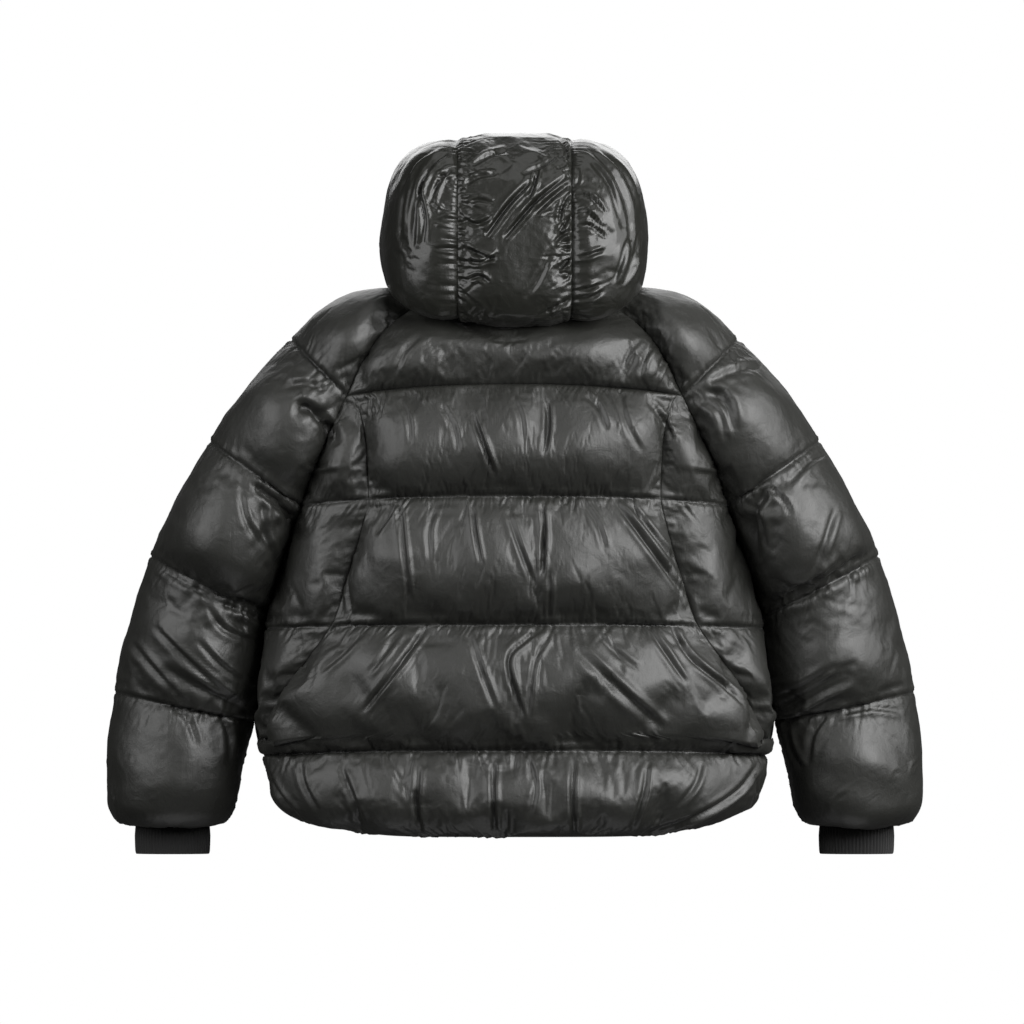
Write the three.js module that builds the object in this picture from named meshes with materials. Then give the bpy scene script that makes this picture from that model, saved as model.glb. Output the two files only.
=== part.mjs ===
// A hooded puffer jacket, filled out as if worn, with its sleeves hanging and its hood up.
// Millimetres. +Z is up, +Y is the way the wearer faces and +X is the wearer's right.
// The origin is the middle of the neck opening, where the jacket hangs on the wearer.
//
// Every piece is a padded wall: a plain lining inside, and an outer shell that is pressed flat at the
// seams and quilting lines and swells between them. The quilting lines run round the body and down
// the sleeves. They are numbered from 0 at the neck to 5 at the hem and at the cuff seam, and a line
// of the body meets the line of the same number on the sleeve at the raglan seam.

import * as THREE from "three";

// Driving dimensions
const seamWall = 3; // shell, fill and lining where a seam presses them flat
const seamGap = 0.32; // clear gap between two pieces that are sewn together
const puffHeight = { yoke: 24, back: 30, sideBack: 22, front: 26, sleeve: 22, hood: 7 };
const puffReach = 46; // how far from a seam the fill reaches its full height
const zipHalfWidth = 7.5;
const zipWall = 2;
const cuff = { halfWidth: 46.5, halfDepth: 24, wall: 2.6, length: 35, ribs: 32, ribHeight: 0.9 };
const hoodSeamX = 71; // from the middle of the hood to the seam of its side panel
const hoodFullest = 158; // from the middle of the hood to the fullest point of its side
const hoodCrown = 1; // how much the hood's middle panel is rounded across
const hoodSag = 7; // how far the fill of the middle panel hangs over the yoke

// Rows of points in each baffle, closer together beside the stitching
const bafflePattern = [0, 0.12, 0.36, 0.62, 0.86];
const lastLine = 5;
const underarmLine = 2.62;
const sideBackEnd = 3.86; // where the curved back seam runs out into the side seam
const columns = { yoke: 14, centreBack: 16, sideBack: 4, front: 9, sleeve: 22, hoodCentre: 6 };
const hoodSteps = { profile: 24, corner: 11, chin: 3 }; // the side panel's top edge begins at the corner
const neckLift = 0.9; // the hood's seam allowance above the neckline
const hoodRise = 65; // clearance of the hood's fullest rows above the shoulders

const shellColour = 0x2c2c2b;
const ribColour = 0x171716;
const zipColour = 0x121212;

// The sleeve at each line: its outer edge (top), its lower edge, how far round the cloth runs from the
// outer edge to the lower one (turn, in degrees), its half depth and its middle from front to back.
// Above the underarm the lower edge is the raglan seam, and below it the underarm seam.
const sleeveTable = [
  { line: 0, topX: 104, topZ: 8, lowX: 95, lowZ: 2, turn: 90, depth: 66, midY: 0 },
  { line: 0.2, topX: 140, topZ: 13, lowX: 135, lowZ: -18, turn: 91, depth: 82, midY: 0 },
  { line: 0.5, topX: 200, topZ: 7, lowX: 175, lowZ: -56, turn: 95, depth: 102, midY: 1 },
  { line: 1, topX: 279, topZ: -50, lowX: 209, lowZ: -120, turn: 108, depth: 112, midY: 4 },
  { line: 1.5, topX: 328, topZ: -107, lowX: 240, lowZ: -188, turn: 122, depth: 110, midY: 7 },
  { line: 2, topX: 381, topZ: -177, lowX: 266, lowZ: -257, turn: 142, depth: 104, midY: 10 },
  { line: 2.62, topX: 429, topZ: -268, lowX: 296, lowZ: -349, turn: 180, depth: 98, midY: 12 },
  { line: 3, topX: 456, topZ: -321, lowX: 311, lowZ: -398, turn: 180, depth: 90, midY: 40 },
  { line: 3.5, topX: 480, topZ: -405, lowX: 317, lowZ: -462, turn: 180, depth: 86, midY: 54 },
  { line: 4, topX: 502, topZ: -492, lowX: 328, lowZ: -528, turn: 180, depth: 80, midY: 58 },
  { line: 4.5, topX: 509, topZ: -575, lowX: 345, lowZ: -594, turn: 180, depth: 76, midY: 58 },
  { line: 4.8, topX: 509, topZ: -628, lowX: 354, lowZ: -638, turn: 180, depth: 68, midY: 56 },
  { line: 4.92, topX: 500, topZ: -651, lowX: 366, lowZ: -655, turn: 180, depth: 46, midY: 55 },
  { line: 5, topX: 477.5, topZ: -660, lowX: 383.5, lowZ: -660, turn: 180, depth: 25, midY: 55 },
];

// The side seam below the underarm
const sideTable = [
  { line: 2.62, x: 296, y: 12, z: -349 },
  { line: 3, x: 309, y: 12, z: -411 },
  { line: 3.5, x: 314, y: 12, z: -490 },
  { line: 4, x: 314, y: 12, z: -570 },
  { line: 4.5, x: 289, y: 12, z: -603 },
  { line: 4.8, x: 265, y: 12, z: -623 },
  { line: 5, x: 247, y: 12, z: -636 },
];

// The middle of the back and of the front at each line, how square the section is, and how near the
// side the line turns up to the height of the side seam
const backTable = [
  { line: 0, midZ: -6, depth: 86, round: 1.4, bend: 2.4 },
  { line: 0.5, midZ: -56, depth: 114, round: 1.4, bend: 2.4 },
  { line: 1, midZ: -106, depth: 130, round: 1.5, bend: 2.4 },
  { line: 2, midZ: -245, depth: 140, round: 1.9, bend: 3 },
  { line: 3, midZ: -405, depth: 140, round: 2.4, bend: 4 },
  { line: 4, midZ: -562, depth: 136, round: 2.5, bend: 4 },
  { line: 4.6, midZ: -632, depth: 130, round: 2.5, bend: 6 },
  { line: 5, midZ: -670, depth: 116, round: 2.5, bend: 7 },
];
const frontTable = [
  { line: 0, midZ: -28, depth: 92, round: 1.6, bend: 2.4 },
  { line: 0.5, midZ: -70, depth: 112, round: 1.5, bend: 2.4 },
  { line: 1, midZ: -116, depth: 124, round: 1.5, bend: 2.4 },
  { line: 2, midZ: -248, depth: 136, round: 1.9, bend: 3 },
  { line: 3, midZ: -405, depth: 138, round: 2.4, bend: 4 },
  { line: 4, midZ: -562, depth: 135, round: 2.5, bend: 4 },
  { line: 4.6, midZ: -624, depth: 129, round: 2.5, bend: 6 },
  { line: 5, midZ: -656, depth: 116, round: 2.5, bend: 7 },
];
const sectionPower = 2.3;

// The curved seam between the middle back and the side back: its distance from the middle
const curvedSeamTable = [
  { line: 1, x: 203 },
  { line: 1.1, x: 196 },
  { line: 1.57, x: 184 },
  { line: 1.98, x: 182 },
  { line: 2.24, x: 190 },
  { line: 2.67, x: 210 },
  { line: 2.97, x: 226 },
  { line: 3.24, x: 256 },
  { line: 3.41, x: 276 },
  { line: 3.68, x: 300 },
  { line: 3.86, x: 310 },
];

// The hood's middle line in side view, from the neck seam out over the yoke and up to the brim
const hoodProfile = [
  { y: -86, z: -5.5 },
  { y: -104, z: -11 },
  { y: -124, z: -22 },
  { y: -146, z: -24 },
  { y: -161, z: -9 },
  { y: -168, z: 26 },
  { y: -171, z: 71 },
  { y: -166, z: 114 },
  { y: -151, z: 155 },
  { y: -119, z: 186 },
  { y: -70, z: 198 },
  { y: -14, z: 200 },
  { y: 40, z: 195 },
  { y: 84, z: 183 },
  { y: 114, z: 167 },
];

// The edge of the face opening, from the brim down to the top of the zip
const faceEdge = [
  { x: 71, y: 114, z: 167 },
  { x: 88, y: 124, z: 136 },
  { x: 94, y: 130, z: 96 },
  { x: 84, y: 132, z: 56 },
  { x: 54, y: 126, z: 28 },
  { x: 7.5, y: 108, z: 14 },
];

const radians = THREE.MathUtils.degToRad;
const clamp = THREE.MathUtils.clamp;

const smooth = THREE.MathUtils.smoothstep;

// Smooth value of one column of a table, with no overshoot between its rows
function read(table, column, line) {
  const last = table.length - 1;
  const at = clamp(line, table[0].line, table[last].line);
  let i = 0;
  while (i < last - 1 && at > table[i + 1].line) i += 1;
  const slope = (j) => (table[j + 1][column] - table[j][column]) / (table[j + 1].line - table[j].line);
  const tangent = (j) => {
    if (j === 0) return slope(0);
    if (j === last) return slope(last - 1);
    const before = slope(j - 1);
    const after = slope(j);
    return before * after <= 0 ? 0 : (2 * before * after) / (before + after);
  };
  const span = table[i + 1].line - table[i].line;
  const t = (at - table[i].line) / span;
  const rise = table[i + 1][column] - table[i][column];
  const blend = t * t * (3 - 2 * t);
  const ease = t * (1 - t) * (1 - t) * tangent(i) - t * t * (1 - t) * tangent(i + 1);
  return table[i][column] + rise * blend + span * ease;
}

// Sleeve surface at the seams' level: round runs from -1 at the front edge to 1 at the back edge
function sleeveBase(line, round) {
  const row = (column) => read(sleeveTable, column, line);
  const turn = radians(row("turn"));
  const acrossX = row("lowX") - row("topX");
  const acrossZ = row("lowZ") - row("topZ");
  const share = (1 - Math.cos(round * turn)) / (1 - Math.cos(turn));
  const y = row("midY") - row("depth") * Math.sin(round * turn);
  return new THREE.Vector3(row("topX") + acrossX * share, y, row("topZ") + acrossZ * share);
}

// Edge of the body: the raglan seam down to the underarm, and then the side seam
function bodyEdge(line, side) {
  if (line <= underarmLine) return sleeveBase(line, side);
  return new THREE.Vector3(read(sideTable, "x", line), read(sideTable, "y", line), read(sideTable, "z", line));
}

// Body surface at the seams' level: across runs from 0 in the middle to 1 at the edge, side is 1 for
// the back and -1 for the front
function bodyBase(line, across, side) {
  const table = side > 0 ? backTable : frontTable;
  const edge = bodyEdge(line, side);
  const angle = (Math.abs(across) * Math.PI) / 2;
  const share = Math.sin(angle) ** (2 / sectionPower);
  const fullness = Math.cos(angle) ** (2 / read(table, "round", line));
  const middleY = -side * read(table, "depth", line);
  const middleZ = read(table, "midZ", line);
  return new THREE.Vector3(
    Math.sign(across) * edge.x * share,
    edge.y + (middleY - edge.y) * fullness,
    middleZ + (edge.z - middleZ) * share ** read(table, "bend", line),
  );
}

// Where a seam at a distance x from the middle lies across the body
function acrossAt(line, x) {
  const share = clamp(x / bodyEdge(line, 1).x, 0, 1);
  return (Math.asin(share ** (sectionPower / 2)) * 2) / Math.PI;
}

function curvedSeamAcross(line) {
  return line > sideBackEnd ? 1 : acrossAt(line, read(curvedSeamTable, "x", line));
}

// Outward direction of a surface, from two short steps along it
function outward(surface, line, across, sign) {
  const step = 0.004;
  const lineStep = line + step > lastLine ? -step : step;
  const acrossStep = across + step > 1 ? -step : step;
  const here = surface(line, across);
  const along = surface(line + lineStep, across).sub(here).divideScalar(lineStep);
  const over = surface(line, across + acrossStep).sub(here).divideScalar(acrossStep);
  return along.cross(over).normalize().multiplyScalar(sign);
}

const backSurface = (line, across) => bodyBase(line, across, 1);
const frontSurface = (line, across) => bodyBase(line, across, -1);
const nearEdge = 0.985;
const backNormal = (line, across) => outward(backSurface, line, clamp(across, -nearEdge, nearEdge), 1);
const frontNormal = (line, across) => outward(frontSurface, line, clamp(across, -nearEdge, nearEdge), -1);
const sleeveNormal = (line, round) => outward(sleeveBase, line, round, -1);

// Two pieces that meet at a seam are cut along the same direction there
function seamNormal(line, side) {
  if (Math.abs(line - underarmLine) < 1e-6) return new THREE.Vector3(0, 0, -1);
  const body = side > 0 ? backNormal(line, nearEdge) : frontNormal(line, nearEdge);
  if (line > underarmLine) {
    const other = side > 0 ? frontNormal(line, nearEdge) : backNormal(line, nearEdge);
    return body.add(other).normalize();
  }
  return body.add(sleeveNormal(line, side)).normalize();
}

// Height of the fill down one baffle, 0 at both quilting lines and fullest below the middle
function baffleProfile(line, sag = 1.3) {
  const down = line - Math.floor(line);
  return Math.sin(Math.PI * down ** sag) ** 0.7;
}

// Height of the fill beside a seam that runs down the piece
function besideSeam(distance, reach = puffReach) {
  return 1 - (1 - clamp(distance / reach, 0, 1)) ** 2.2;
}

// Share of the fill's height that is left under the arm, where the sleeve and the body lie together
function pressed(line) {
  const near = clamp(1 - Math.abs(line - 2.8) / (line < 2.8 ? 1.1 : 0.85), 0, 1);
  return 1 - near ** 0.3;
}

function linesBetween(first, last) {
  const lines = [];
  for (let baffle = 0; baffle < lastLine; baffle += 1) {
    for (const part of bafflePattern) lines.push(baffle + part);
  }
  lines.push(lastLine);
  return lines.filter((line) => line >= first - 1e-9 && line <= last + 1e-9);
}

// Closed body from an outer and an inner grid of points
function closedWall(outer, inner) {
  const rows = outer.length;
  const width = outer[0].length;
  const points = [...outer.flat(), ...inner.flat()];
  const index = (row, column, side) => side * rows * width + row * width + column;
  const faces = [];
  const quad = (a, b, c, d) => faces.push(a, b, c, a, c, d);
  for (let r = 0; r + 1 < rows; r += 1) {
    for (let c = 0; c + 1 < width; c += 1) {
      quad(index(r, c, 0), index(r + 1, c, 0), index(r + 1, c + 1, 0), index(r, c + 1, 0));
      quad(index(r, c, 1), index(r, c + 1, 1), index(r + 1, c + 1, 1), index(r + 1, c, 1));
    }
  }
  for (let r = 0; r + 1 < rows; r += 1) {
    quad(index(r, 0, 0), index(r, 0, 1), index(r + 1, 0, 1), index(r + 1, 0, 0));
    const c = width - 1;
    quad(index(r, c, 0), index(r + 1, c, 0), index(r + 1, c, 1), index(r, c, 1));
  }
  for (let c = 0; c + 1 < width; c += 1) {
    quad(index(0, c, 0), index(0, c + 1, 0), index(0, c + 1, 1), index(0, c, 1));
    const r = rows - 1;
    quad(index(r, c, 0), index(r, c, 1), index(r, c + 1, 1), index(r, c + 1, 0));
  }
  return geometryFrom(points, faces);
}

// Geometry with its faces turned to point out of the body
function geometryFrom(points, faces) {
  let volume = 0;
  for (let i = 0; i < faces.length; i += 3) {
    const [a, b, c] = [points[faces[i]], points[faces[i + 1]], points[faces[i + 2]]];
    volume += a.dot(b.clone().cross(c));
  }
  const turned = [...faces];
  if (volume < 0) {
    for (let i = 0; i < turned.length; i += 3) [turned[i + 1], turned[i + 2]] = [turned[i + 2], turned[i + 1]];
  }
  const geometry = new THREE.BufferGeometry();
  geometry.setAttribute("position", new THREE.Float32BufferAttribute(points.flatMap((p) => [p.x, p.y, p.z]), 3));
  geometry.setIndex(turned);
  return geometry;
}

// Moves the border of a grid of points off its cut faces by half the seam gap
function drawIn(base, outer, inner) {
  const rows = base.length;
  const width = base[0].length;
  const moves = [];
  const moveBorder = (row, column, toRow, toColumn) => {
    const sideways = toRow === row;
    const before = sideways ? base[Math.max(row - 1, 0)][column] : base[row][Math.max(column - 1, 0)];
    const after = sideways ? base[Math.min(row + 1, rows - 1)][column] : base[row][Math.min(column + 1, width - 1)];
    const through = base[row][column].clone().sub(inner[row][column]);
    const step = after.clone().sub(before).cross(through).setLength(seamGap / 2);
    if (step.dot(base[toRow][toColumn].clone().sub(base[row][column])) < 0) step.negate();
    moves.push([row, column, step]);
  };
  for (let r = 0; r < rows; r += 1) {
    moveBorder(r, 0, r, 1);
    moveBorder(r, width - 1, r, width - 2);
  }
  for (let c = 0; c < width; c += 1) {
    moveBorder(0, c, 1, c);
    moveBorder(rows - 1, c, rows - 2, c);
  }
  for (const [row, column, step] of moves) {
    outer[row][column].add(step);
    inner[row][column].add(step);
  }
}

// Padded wall over a surface. place gives a point, normal its outward direction, and fill the height
// of the fill from the line, the place across and the distances to the two side edges.
function paddedWall({ lines, count, place, normal, fill }) {
  const base = lines.map((line) => Array.from({ length: count + 1 }, (_, c) => place(line, c / count)));
  const outer = [];
  const inner = [];
  lines.forEach((line, r) => {
    const travelled = [0];
    for (let c = 1; c <= count; c += 1) travelled.push(travelled[c - 1] + base[r][c].distanceTo(base[r][c - 1]));
    outer.push([]);
    inner.push([]);
    for (let c = 0; c <= count; c += 1) {
      const out = normal(line, c / count);
      const height = fill(line, c / count, travelled[c], travelled[count] - travelled[c]);
      outer[r].push(base[r][c].clone().addScaledVector(out, height));
      inner[r].push(base[r][c].clone().addScaledVector(out, -seamWall));
    }
  });
  drawIn(base, outer, inner);
  return closedWall(outer, inner);
}

function mirrored(geometry) {
  const copy = geometry.clone();
  copy.scale(-1, 1, 1);
  const index = copy.getIndex();
  for (let i = 0; i < index.count; i += 3) {
    const second = index.getX(i + 1);
    index.setX(i + 1, index.getX(i + 2));
    index.setX(i + 2, second);
  }
  return copy;
}

function yoke() {
  const place = (line, t) => backSurface(line, 2 * t - 1);
  const normal = (line, t) => {
    if (t > 0 && t < 1) return backNormal(line, 2 * t - 1);
    const out = seamNormal(line, 1);
    return t === 0 ? out.setX(-out.x) : out;
  };
  const fill = (line, t, left, right) => {
    return puffHeight.yoke * baffleProfile(line, 2.1) * besideSeam(left) * besideSeam(right);
  };
  return paddedWall({ lines: linesBetween(0, 1), count: columns.yoke, place, normal, fill });
}

function centreBack() {
  const place = (line, t) => backSurface(line, (2 * t - 1) * curvedSeamAcross(line));
  const normal = (line, t) => {
    const across = (2 * t - 1) * curvedSeamAcross(line);
    if (Math.abs(across) < 1) return backNormal(line, across);
    const out = seamNormal(line, 1);
    return across < 0 ? out.setX(-out.x) : out;
  };
  const fill = (line, t, left, right) => {
    return puffHeight.back * baffleProfile(line) * besideSeam(left) * besideSeam(right);
  };
  return paddedWall({ lines: linesBetween(1, lastLine), count: columns.centreBack, place, normal, fill });
}

function sideBack() {
  const place = (line, t) => {
    const seam = curvedSeamAcross(line);
    return backSurface(line, seam + (1 - seam) * t);
  };
  const normal = (line, t) => {
    const seam = curvedSeamAcross(line);
    return t < 1 ? backNormal(line, seam + (1 - seam) * t) : seamNormal(line, 1);
  };
  const fill = (line, t, left, right) => {
    const side = besideSeam(right, 70) * (1 + (pressed(line) - 1) * t);
    return puffHeight.sideBack * baffleProfile(line) * besideSeam(left, 40) * side;
  };
  return paddedWall({ lines: linesBetween(1, sideBackEnd), count: columns.sideBack, place, normal, fill });
}

function front() {
  const place = (line, t) => {
    const start = acrossAt(line, zipHalfWidth);
    return frontSurface(line, start + (1 - start) * t);
  };
  const normal = (line, t) => {
    const start = acrossAt(line, zipHalfWidth);
    return t < 1 ? frontNormal(line, start + (1 - start) * t) : seamNormal(line, -1);
  };
  const fill = (line, t, left, right) => {
    const sag = line < 1 ? 1.5 : 1.3;
    const side = besideSeam(right, 80) * (1 + (pressed(line) - 1) * t ** 2.5);
    return puffHeight.front * baffleProfile(line, sag) * besideSeam(left, 34) * side;
  };
  return paddedWall({ lines: linesBetween(0, lastLine), count: columns.front, place, normal, fill });
}

function sleeve() {
  const place = (line, t) => sleeveBase(line, 2 * t - 1);
  const normal = (line, t) => {
    const atSeam = line < underarmLine && (t === 0 || t === 1);
    return atSeam ? seamNormal(line, 2 * t - 1) : sleeveNormal(line, clamp(2 * t - 1, -0.999, 0.999));
  };
  const fill = (line, t, left, right) => {
    const angle = radians(read(sleeveTable, "turn", line)) * (2 * t - 1);
    const lower = Math.abs(angle) > Math.PI / 2 ? pressed(line) : 1;
    const face = (0.2 + 0.8 * Math.sin(angle) ** 2) * (1 + (lower - 1) * Math.cos(angle) ** 2);
    const sag = line < 1 ? 1.6 : 1.3;
    const edges = besideSeam(left, 40) * besideSeam(right, 40);
    return puffHeight.sleeve * face * baffleProfile(line, sag) * edges;
  };
  return paddedWall({ lines: linesBetween(0, lastLine), count: columns.sleeve, place, normal, fill });
}

// Rib-knit tube below the sleeve, with its ribs raised all round
function cuffTube() {
  const ring = (halfWidth, halfDepth, z, ribbed) => {
    const count = cuff.ribs * 2;
    return Array.from({ length: count + 1 }, (_, i) => {
      const angle = ((i % count) * 2 * Math.PI) / count;
      const rib = ribbed && i % 2 ? cuff.ribHeight : 0;
      return new THREE.Vector3((halfWidth + rib) * Math.cos(angle), (halfDepth + rib) * Math.sin(angle), z);
    });
  };
  const end = sleeveTable[sleeveTable.length - 1];
  const top = end.topZ - seamGap;
  const middle = (end.topX + end.lowX) / 2;
  const outer = [];
  const inner = [];
  const rise = 3; // the ribs start this far from the ends
  const heights = [0, rise, cuff.length - rise, cuff.length];
  heights.forEach((down, i) => {
    const ribbed = i === 1 || i === 2;
    outer.push(ring(cuff.halfWidth, cuff.halfDepth, top - down, ribbed));
    inner.push(ring(cuff.halfWidth - cuff.wall, cuff.halfDepth - cuff.wall, top - down, false));
  });
  const geometry = tubeFrom(outer, inner);
  geometry.translate(middle, end.midY, 0);
  return geometry;
}

// Closed tube wall from rings whose last point repeats the first
function tubeFrom(outer, inner) {
  const rows = outer.length;
  const count = outer[0].length - 1;
  const points = [...outer, ...inner].flatMap((ring) => ring.slice(0, count));
  const index = (row, i, side) => (side * rows + row) * count + (i % count);
  const faces = [];
  const quad = (a, b, c, d) => faces.push(a, b, c, a, c, d);
  for (let i = 0; i < count; i += 1) {
    for (let r = 0; r + 1 < rows; r += 1) {
      quad(index(r, i, 0), index(r + 1, i, 0), index(r + 1, i + 1, 0), index(r, i + 1, 0));
      quad(index(r, i, 1), index(r, i + 1, 1), index(r + 1, i + 1, 1), index(r + 1, i, 1));
    }
    quad(index(0, i, 0), index(0, i + 1, 0), index(0, i + 1, 1), index(0, i, 1));
    quad(index(rows - 1, i, 0), index(rows - 1, i, 1), index(rows - 1, i + 1, 1), index(rows - 1, i + 1, 0));
  }
  return geometryFrom(points, faces);
}

const hoodCurve = new THREE.CatmullRomCurve3(hoodProfile.map((p) => new THREE.Vector3(0, p.y, p.z)), false, "centripetal");
const faceCurve = new THREE.CatmullRomCurve3(faceEdge.map((p) => new THREE.Vector3(p.x, p.y, p.z)), false, "centripetal");

// Outward direction of the hood's middle line
function hoodOutward(share) {
  const along = hoodCurve.getTangentAt(share);
  return new THREE.Vector3(0, -along.z, along.y);
}

// Hood's middle panel at the seams' level, with its first edge laid along the back of the neckline
function hoodMiddle(share, across) {
  const x = across * (hoodSeamX - 9 * (1 - clamp(share / 0.2, 0, 1)) ** 2);
  const start = backSurface(0, Math.sign(x) * acrossAt(0, Math.abs(x)));
  const middle = hoodCurve.getPointAt(0);
  const hold = (1 - clamp(share / 0.16, 0, 1)) ** 1.5;
  const sag = hoodSag * smooth(share, 0.03, 0.1) * (1 - smooth(share, 0.18, 0.34));
  const crown = (1 - across ** 2) * (sag + hoodCrown * smooth(share, 0.14, 0.34));
  const point = hoodCurve.getPointAt(share).addScaledVector(hoodOutward(share), crown);
  point.y += (start.y - middle.y) * hold;
  point.z += (start.z + neckLift - middle.z) * hold;
  return point.setX(x);
}

function hoodSeamAt(share) {
  return hoodMiddle(share, 1);
}

function hoodSeamNormal(share) {
  return hoodOutward(share).setX(0.75).normalize();
}

function hoodCentre() {
  const steps = Array.from({ length: hoodSteps.profile + 1 }, (_, i) => i / hoodSteps.profile);
  const place = (share, t) => hoodMiddle(share, 2 * t - 1);
  const normal = (share, t) => {
    const across = 2 * t - 1;
    const out = hoodSeamNormal(share);
    return hoodOutward(share).lerp(out.setX(Math.sign(across) * out.x), Math.abs(across) ** 3).normalize();
  };
  const fill = (share, t, left, right) => {
    const ends = smooth(share, 0.03, 0.2) * (1 - smooth(share, 0.9, 1));
    return 0.7 * puffHeight.hood * ends * besideSeam(left, 40) * besideSeam(right, 40);
  };
  return paddedWall({ lines: steps, count: columns.hoodCentre, place, normal, fill });
}

// Place at a share of the way along a row of points
function alongPoints(points) {
  const lengths = [0];
  for (let i = 1; i < points.length; i += 1) lengths.push(lengths[i - 1] + points[i].distanceTo(points[i - 1]));
  const whole = lengths[lengths.length - 1];
  return (share) => {
    const target = clamp(share, 0, 1) * whole;
    let i = 0;
    while (i < points.length - 2 && lengths[i + 1] < target) i += 1;
    return points[i].clone().lerp(points[i + 1], (target - lengths[i]) / (lengths[i + 1] - lengths[i]));
  };
}

// Neckline from the back of the hood's middle panel round to the zip
function necklinePoints() {
  const start = acrossAt(0, hoodSeamAt(0).x);
  const end = acrossAt(0, zipHalfWidth);
  const points = [];
  for (let i = 0; i < 12; i += 1) points.push(backSurface(0, start + ((1 - start) * i) / 12));
  for (let i = 0; i < 24; i += 1) points.push(sleeveBase(0, 1 - i / 12));
  for (let i = 0; i <= 12; i += 1) points.push(frontSurface(0, 1 + ((end - 1) * i) / 12));
  return points.map((p) => p.setZ(p.z + neckLift));
}

// Top of the zip's edge at the hood's chin, and the front neckline below it
const chinTop = faceCurve.getPointAt(1);
const chinFoot = frontSurface(0, acrossAt(0, zipHalfWidth));

// Side panel of the hood at the seams' level. down runs from the crown (0) to the neck (1), and
// forward from the back of the head (0) to the edge of the face opening (1).
const neckEdge = alongPoints(necklinePoints());
const faceRow = Array.from({ length: 40 }, (_, i) => faceCurve.getPointAt(i / 39));
const frontEdge = alongPoints([...faceRow, neckEdge(1)]);
const hoodCorner = hoodSteps.corner / hoodSteps.profile;
const crownEdge = (forward) => hoodSeamAt(hoodCorner + (1 - hoodCorner) * forward);
const napeEdge = (down) => hoodSeamAt(hoodCorner * (1 - down));

function hoodSideBase(down, forward) {
  const point = new THREE.Vector3();
  point.addScaledVector(crownEdge(forward), 1 - down).addScaledVector(neckEdge(forward), down);
  point.addScaledVector(napeEdge(down), 1 - forward).addScaledVector(frontEdge(down), forward);
  point.addScaledVector(crownEdge(0), -(1 - down) * (1 - forward)).addScaledVector(crownEdge(1), -(1 - down) * forward);
  point.addScaledVector(neckEdge(0), -down * (1 - forward)).addScaledVector(neckEdge(1), -down * forward);
  const dome = (1 - Math.abs(2 * down - 1) ** 2) * (1 - Math.abs(2 * forward - 1) ** 2.2);
  const full = Math.sqrt(Math.max(dome, 0));
  point.x += (hoodFullest - point.x) * full;
  point.z += hoodRise * full * smooth(down, 0.7, 0.95);
  return point;
}

function hoodSideNormal(down, forward) {
  if (down === 0) return hoodSeamNormal(hoodCorner + (1 - hoodCorner) * forward);
  if (forward === 0) return hoodSeamNormal(hoodCorner * (1 - down));
  const chinOut = new THREE.Vector3(0, 1, 0.1).normalize();
  if (forward === 1) {
    const face = new THREE.Vector3(0.9, 0.3, 0.35 * (1 - 2 * down)).normalize();
    const brim = hoodSeamNormal(1).lerp(face, smooth(down, 0, 0.25));
    return brim.lerp(chinOut, smooth(down, 0.55, 0.75)).normalize();
  }
  if (down === 1) {
    const point = neckEdge(forward);
    const out = new THREE.Vector3(point.x / 80, point.y / 75, -0.6).normalize();
    const back = hoodSeamNormal(0).lerp(out, smooth(forward, 0, 0.15));
    return back.lerp(chinOut, smooth(forward, 0.85, 1)).normalize();
  }
  const step = 0.004;
  const along = hoodSideBase(down + step, forward).sub(hoodSideBase(down - step, forward));
  const over = hoodSideBase(down, forward + step).sub(hoodSideBase(down, forward - step));
  const out = along.cross(over).normalize();
  const outside = hoodSideBase(down, forward).sub(new THREE.Vector3(40, -20, 80));
  return out.dot(outside) < 0 ? out.negate() : out;
}

function hoodSide() {
  const rows = hoodSteps.corner;
  const lines = Array.from({ length: rows + 1 }, (_, i) => i / rows);
  const depth = 200; // from the crown to the neck
  const fill = (down, forward, left, right) => {
    const edges = besideSeam(left, 40) * besideSeam(right, 40);
    return puffHeight.hood * edges * besideSeam(down * depth, 90) * besideSeam((1 - down) * depth, 150);
  };
  const count = hoodSteps.profile - hoodSteps.corner;
  return paddedWall({ lines, count, place: hoodSideBase, normal: hoodSideNormal, fill });
}

// Zip between the two fronts, from the hem to the top of the hood's chin
function zip() {
  const rows = [];
  for (let i = 0; i < hoodSteps.chin; i += 1) {
    const point = chinTop.clone().lerp(chinFoot, i / hoodSteps.chin);
    rows.push({ point, out: new THREE.Vector3(0, 1, 0.1).normalize() });
  }
  for (const line of linesBetween(0, lastLine)) {
    rows.push({ point: frontSurface(line, acrossAt(line, zipHalfWidth)), out: frontNormal(line, 0.02).setX(0).normalize() });
  }
  const spread = [-1, 0, 1];
  const half = zipHalfWidth - seamGap / 2;
  const outer = rows.map((row) => spread.map((s) => new THREE.Vector3(s * half, row.point.y, row.point.z)));
  const inner = outer.map((row, r) => row.map((p) => p.clone().addScaledVector(rows[r].out, -zipWall)));
  return closedWall(outer, inner);
}

const jacket = new THREE.Group();

function add(name, geometry, colour, roughness = 0.42) {
  const material = new THREE.MeshStandardMaterial({ color: colour, roughness, metalness: 0 });
  const mesh = new THREE.Mesh(geometry, material);
  mesh.name = name;
  jacket.add(mesh);
}

function addPair(name, geometry, colour, roughness) {
  add(`${name}_right`, geometry, colour, roughness);
  add(`${name}_left`, mirrored(geometry), colour, roughness);
}

add("yoke", yoke(), shellColour);
add("centre_back", centreBack(), shellColour);
addPair("side_back", sideBack(), shellColour);
addPair("front", front(), shellColour);
addPair("sleeve", sleeve(), shellColour);
addPair("cuff", cuffTube(), ribColour, 0.9);
add("hood_centre", hoodCentre(), shellColour);
addPair("hood_side", hoodSide(), shellColour);
add("front_zip", zip(), zipColour, 0.6);

export default jacket;
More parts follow.
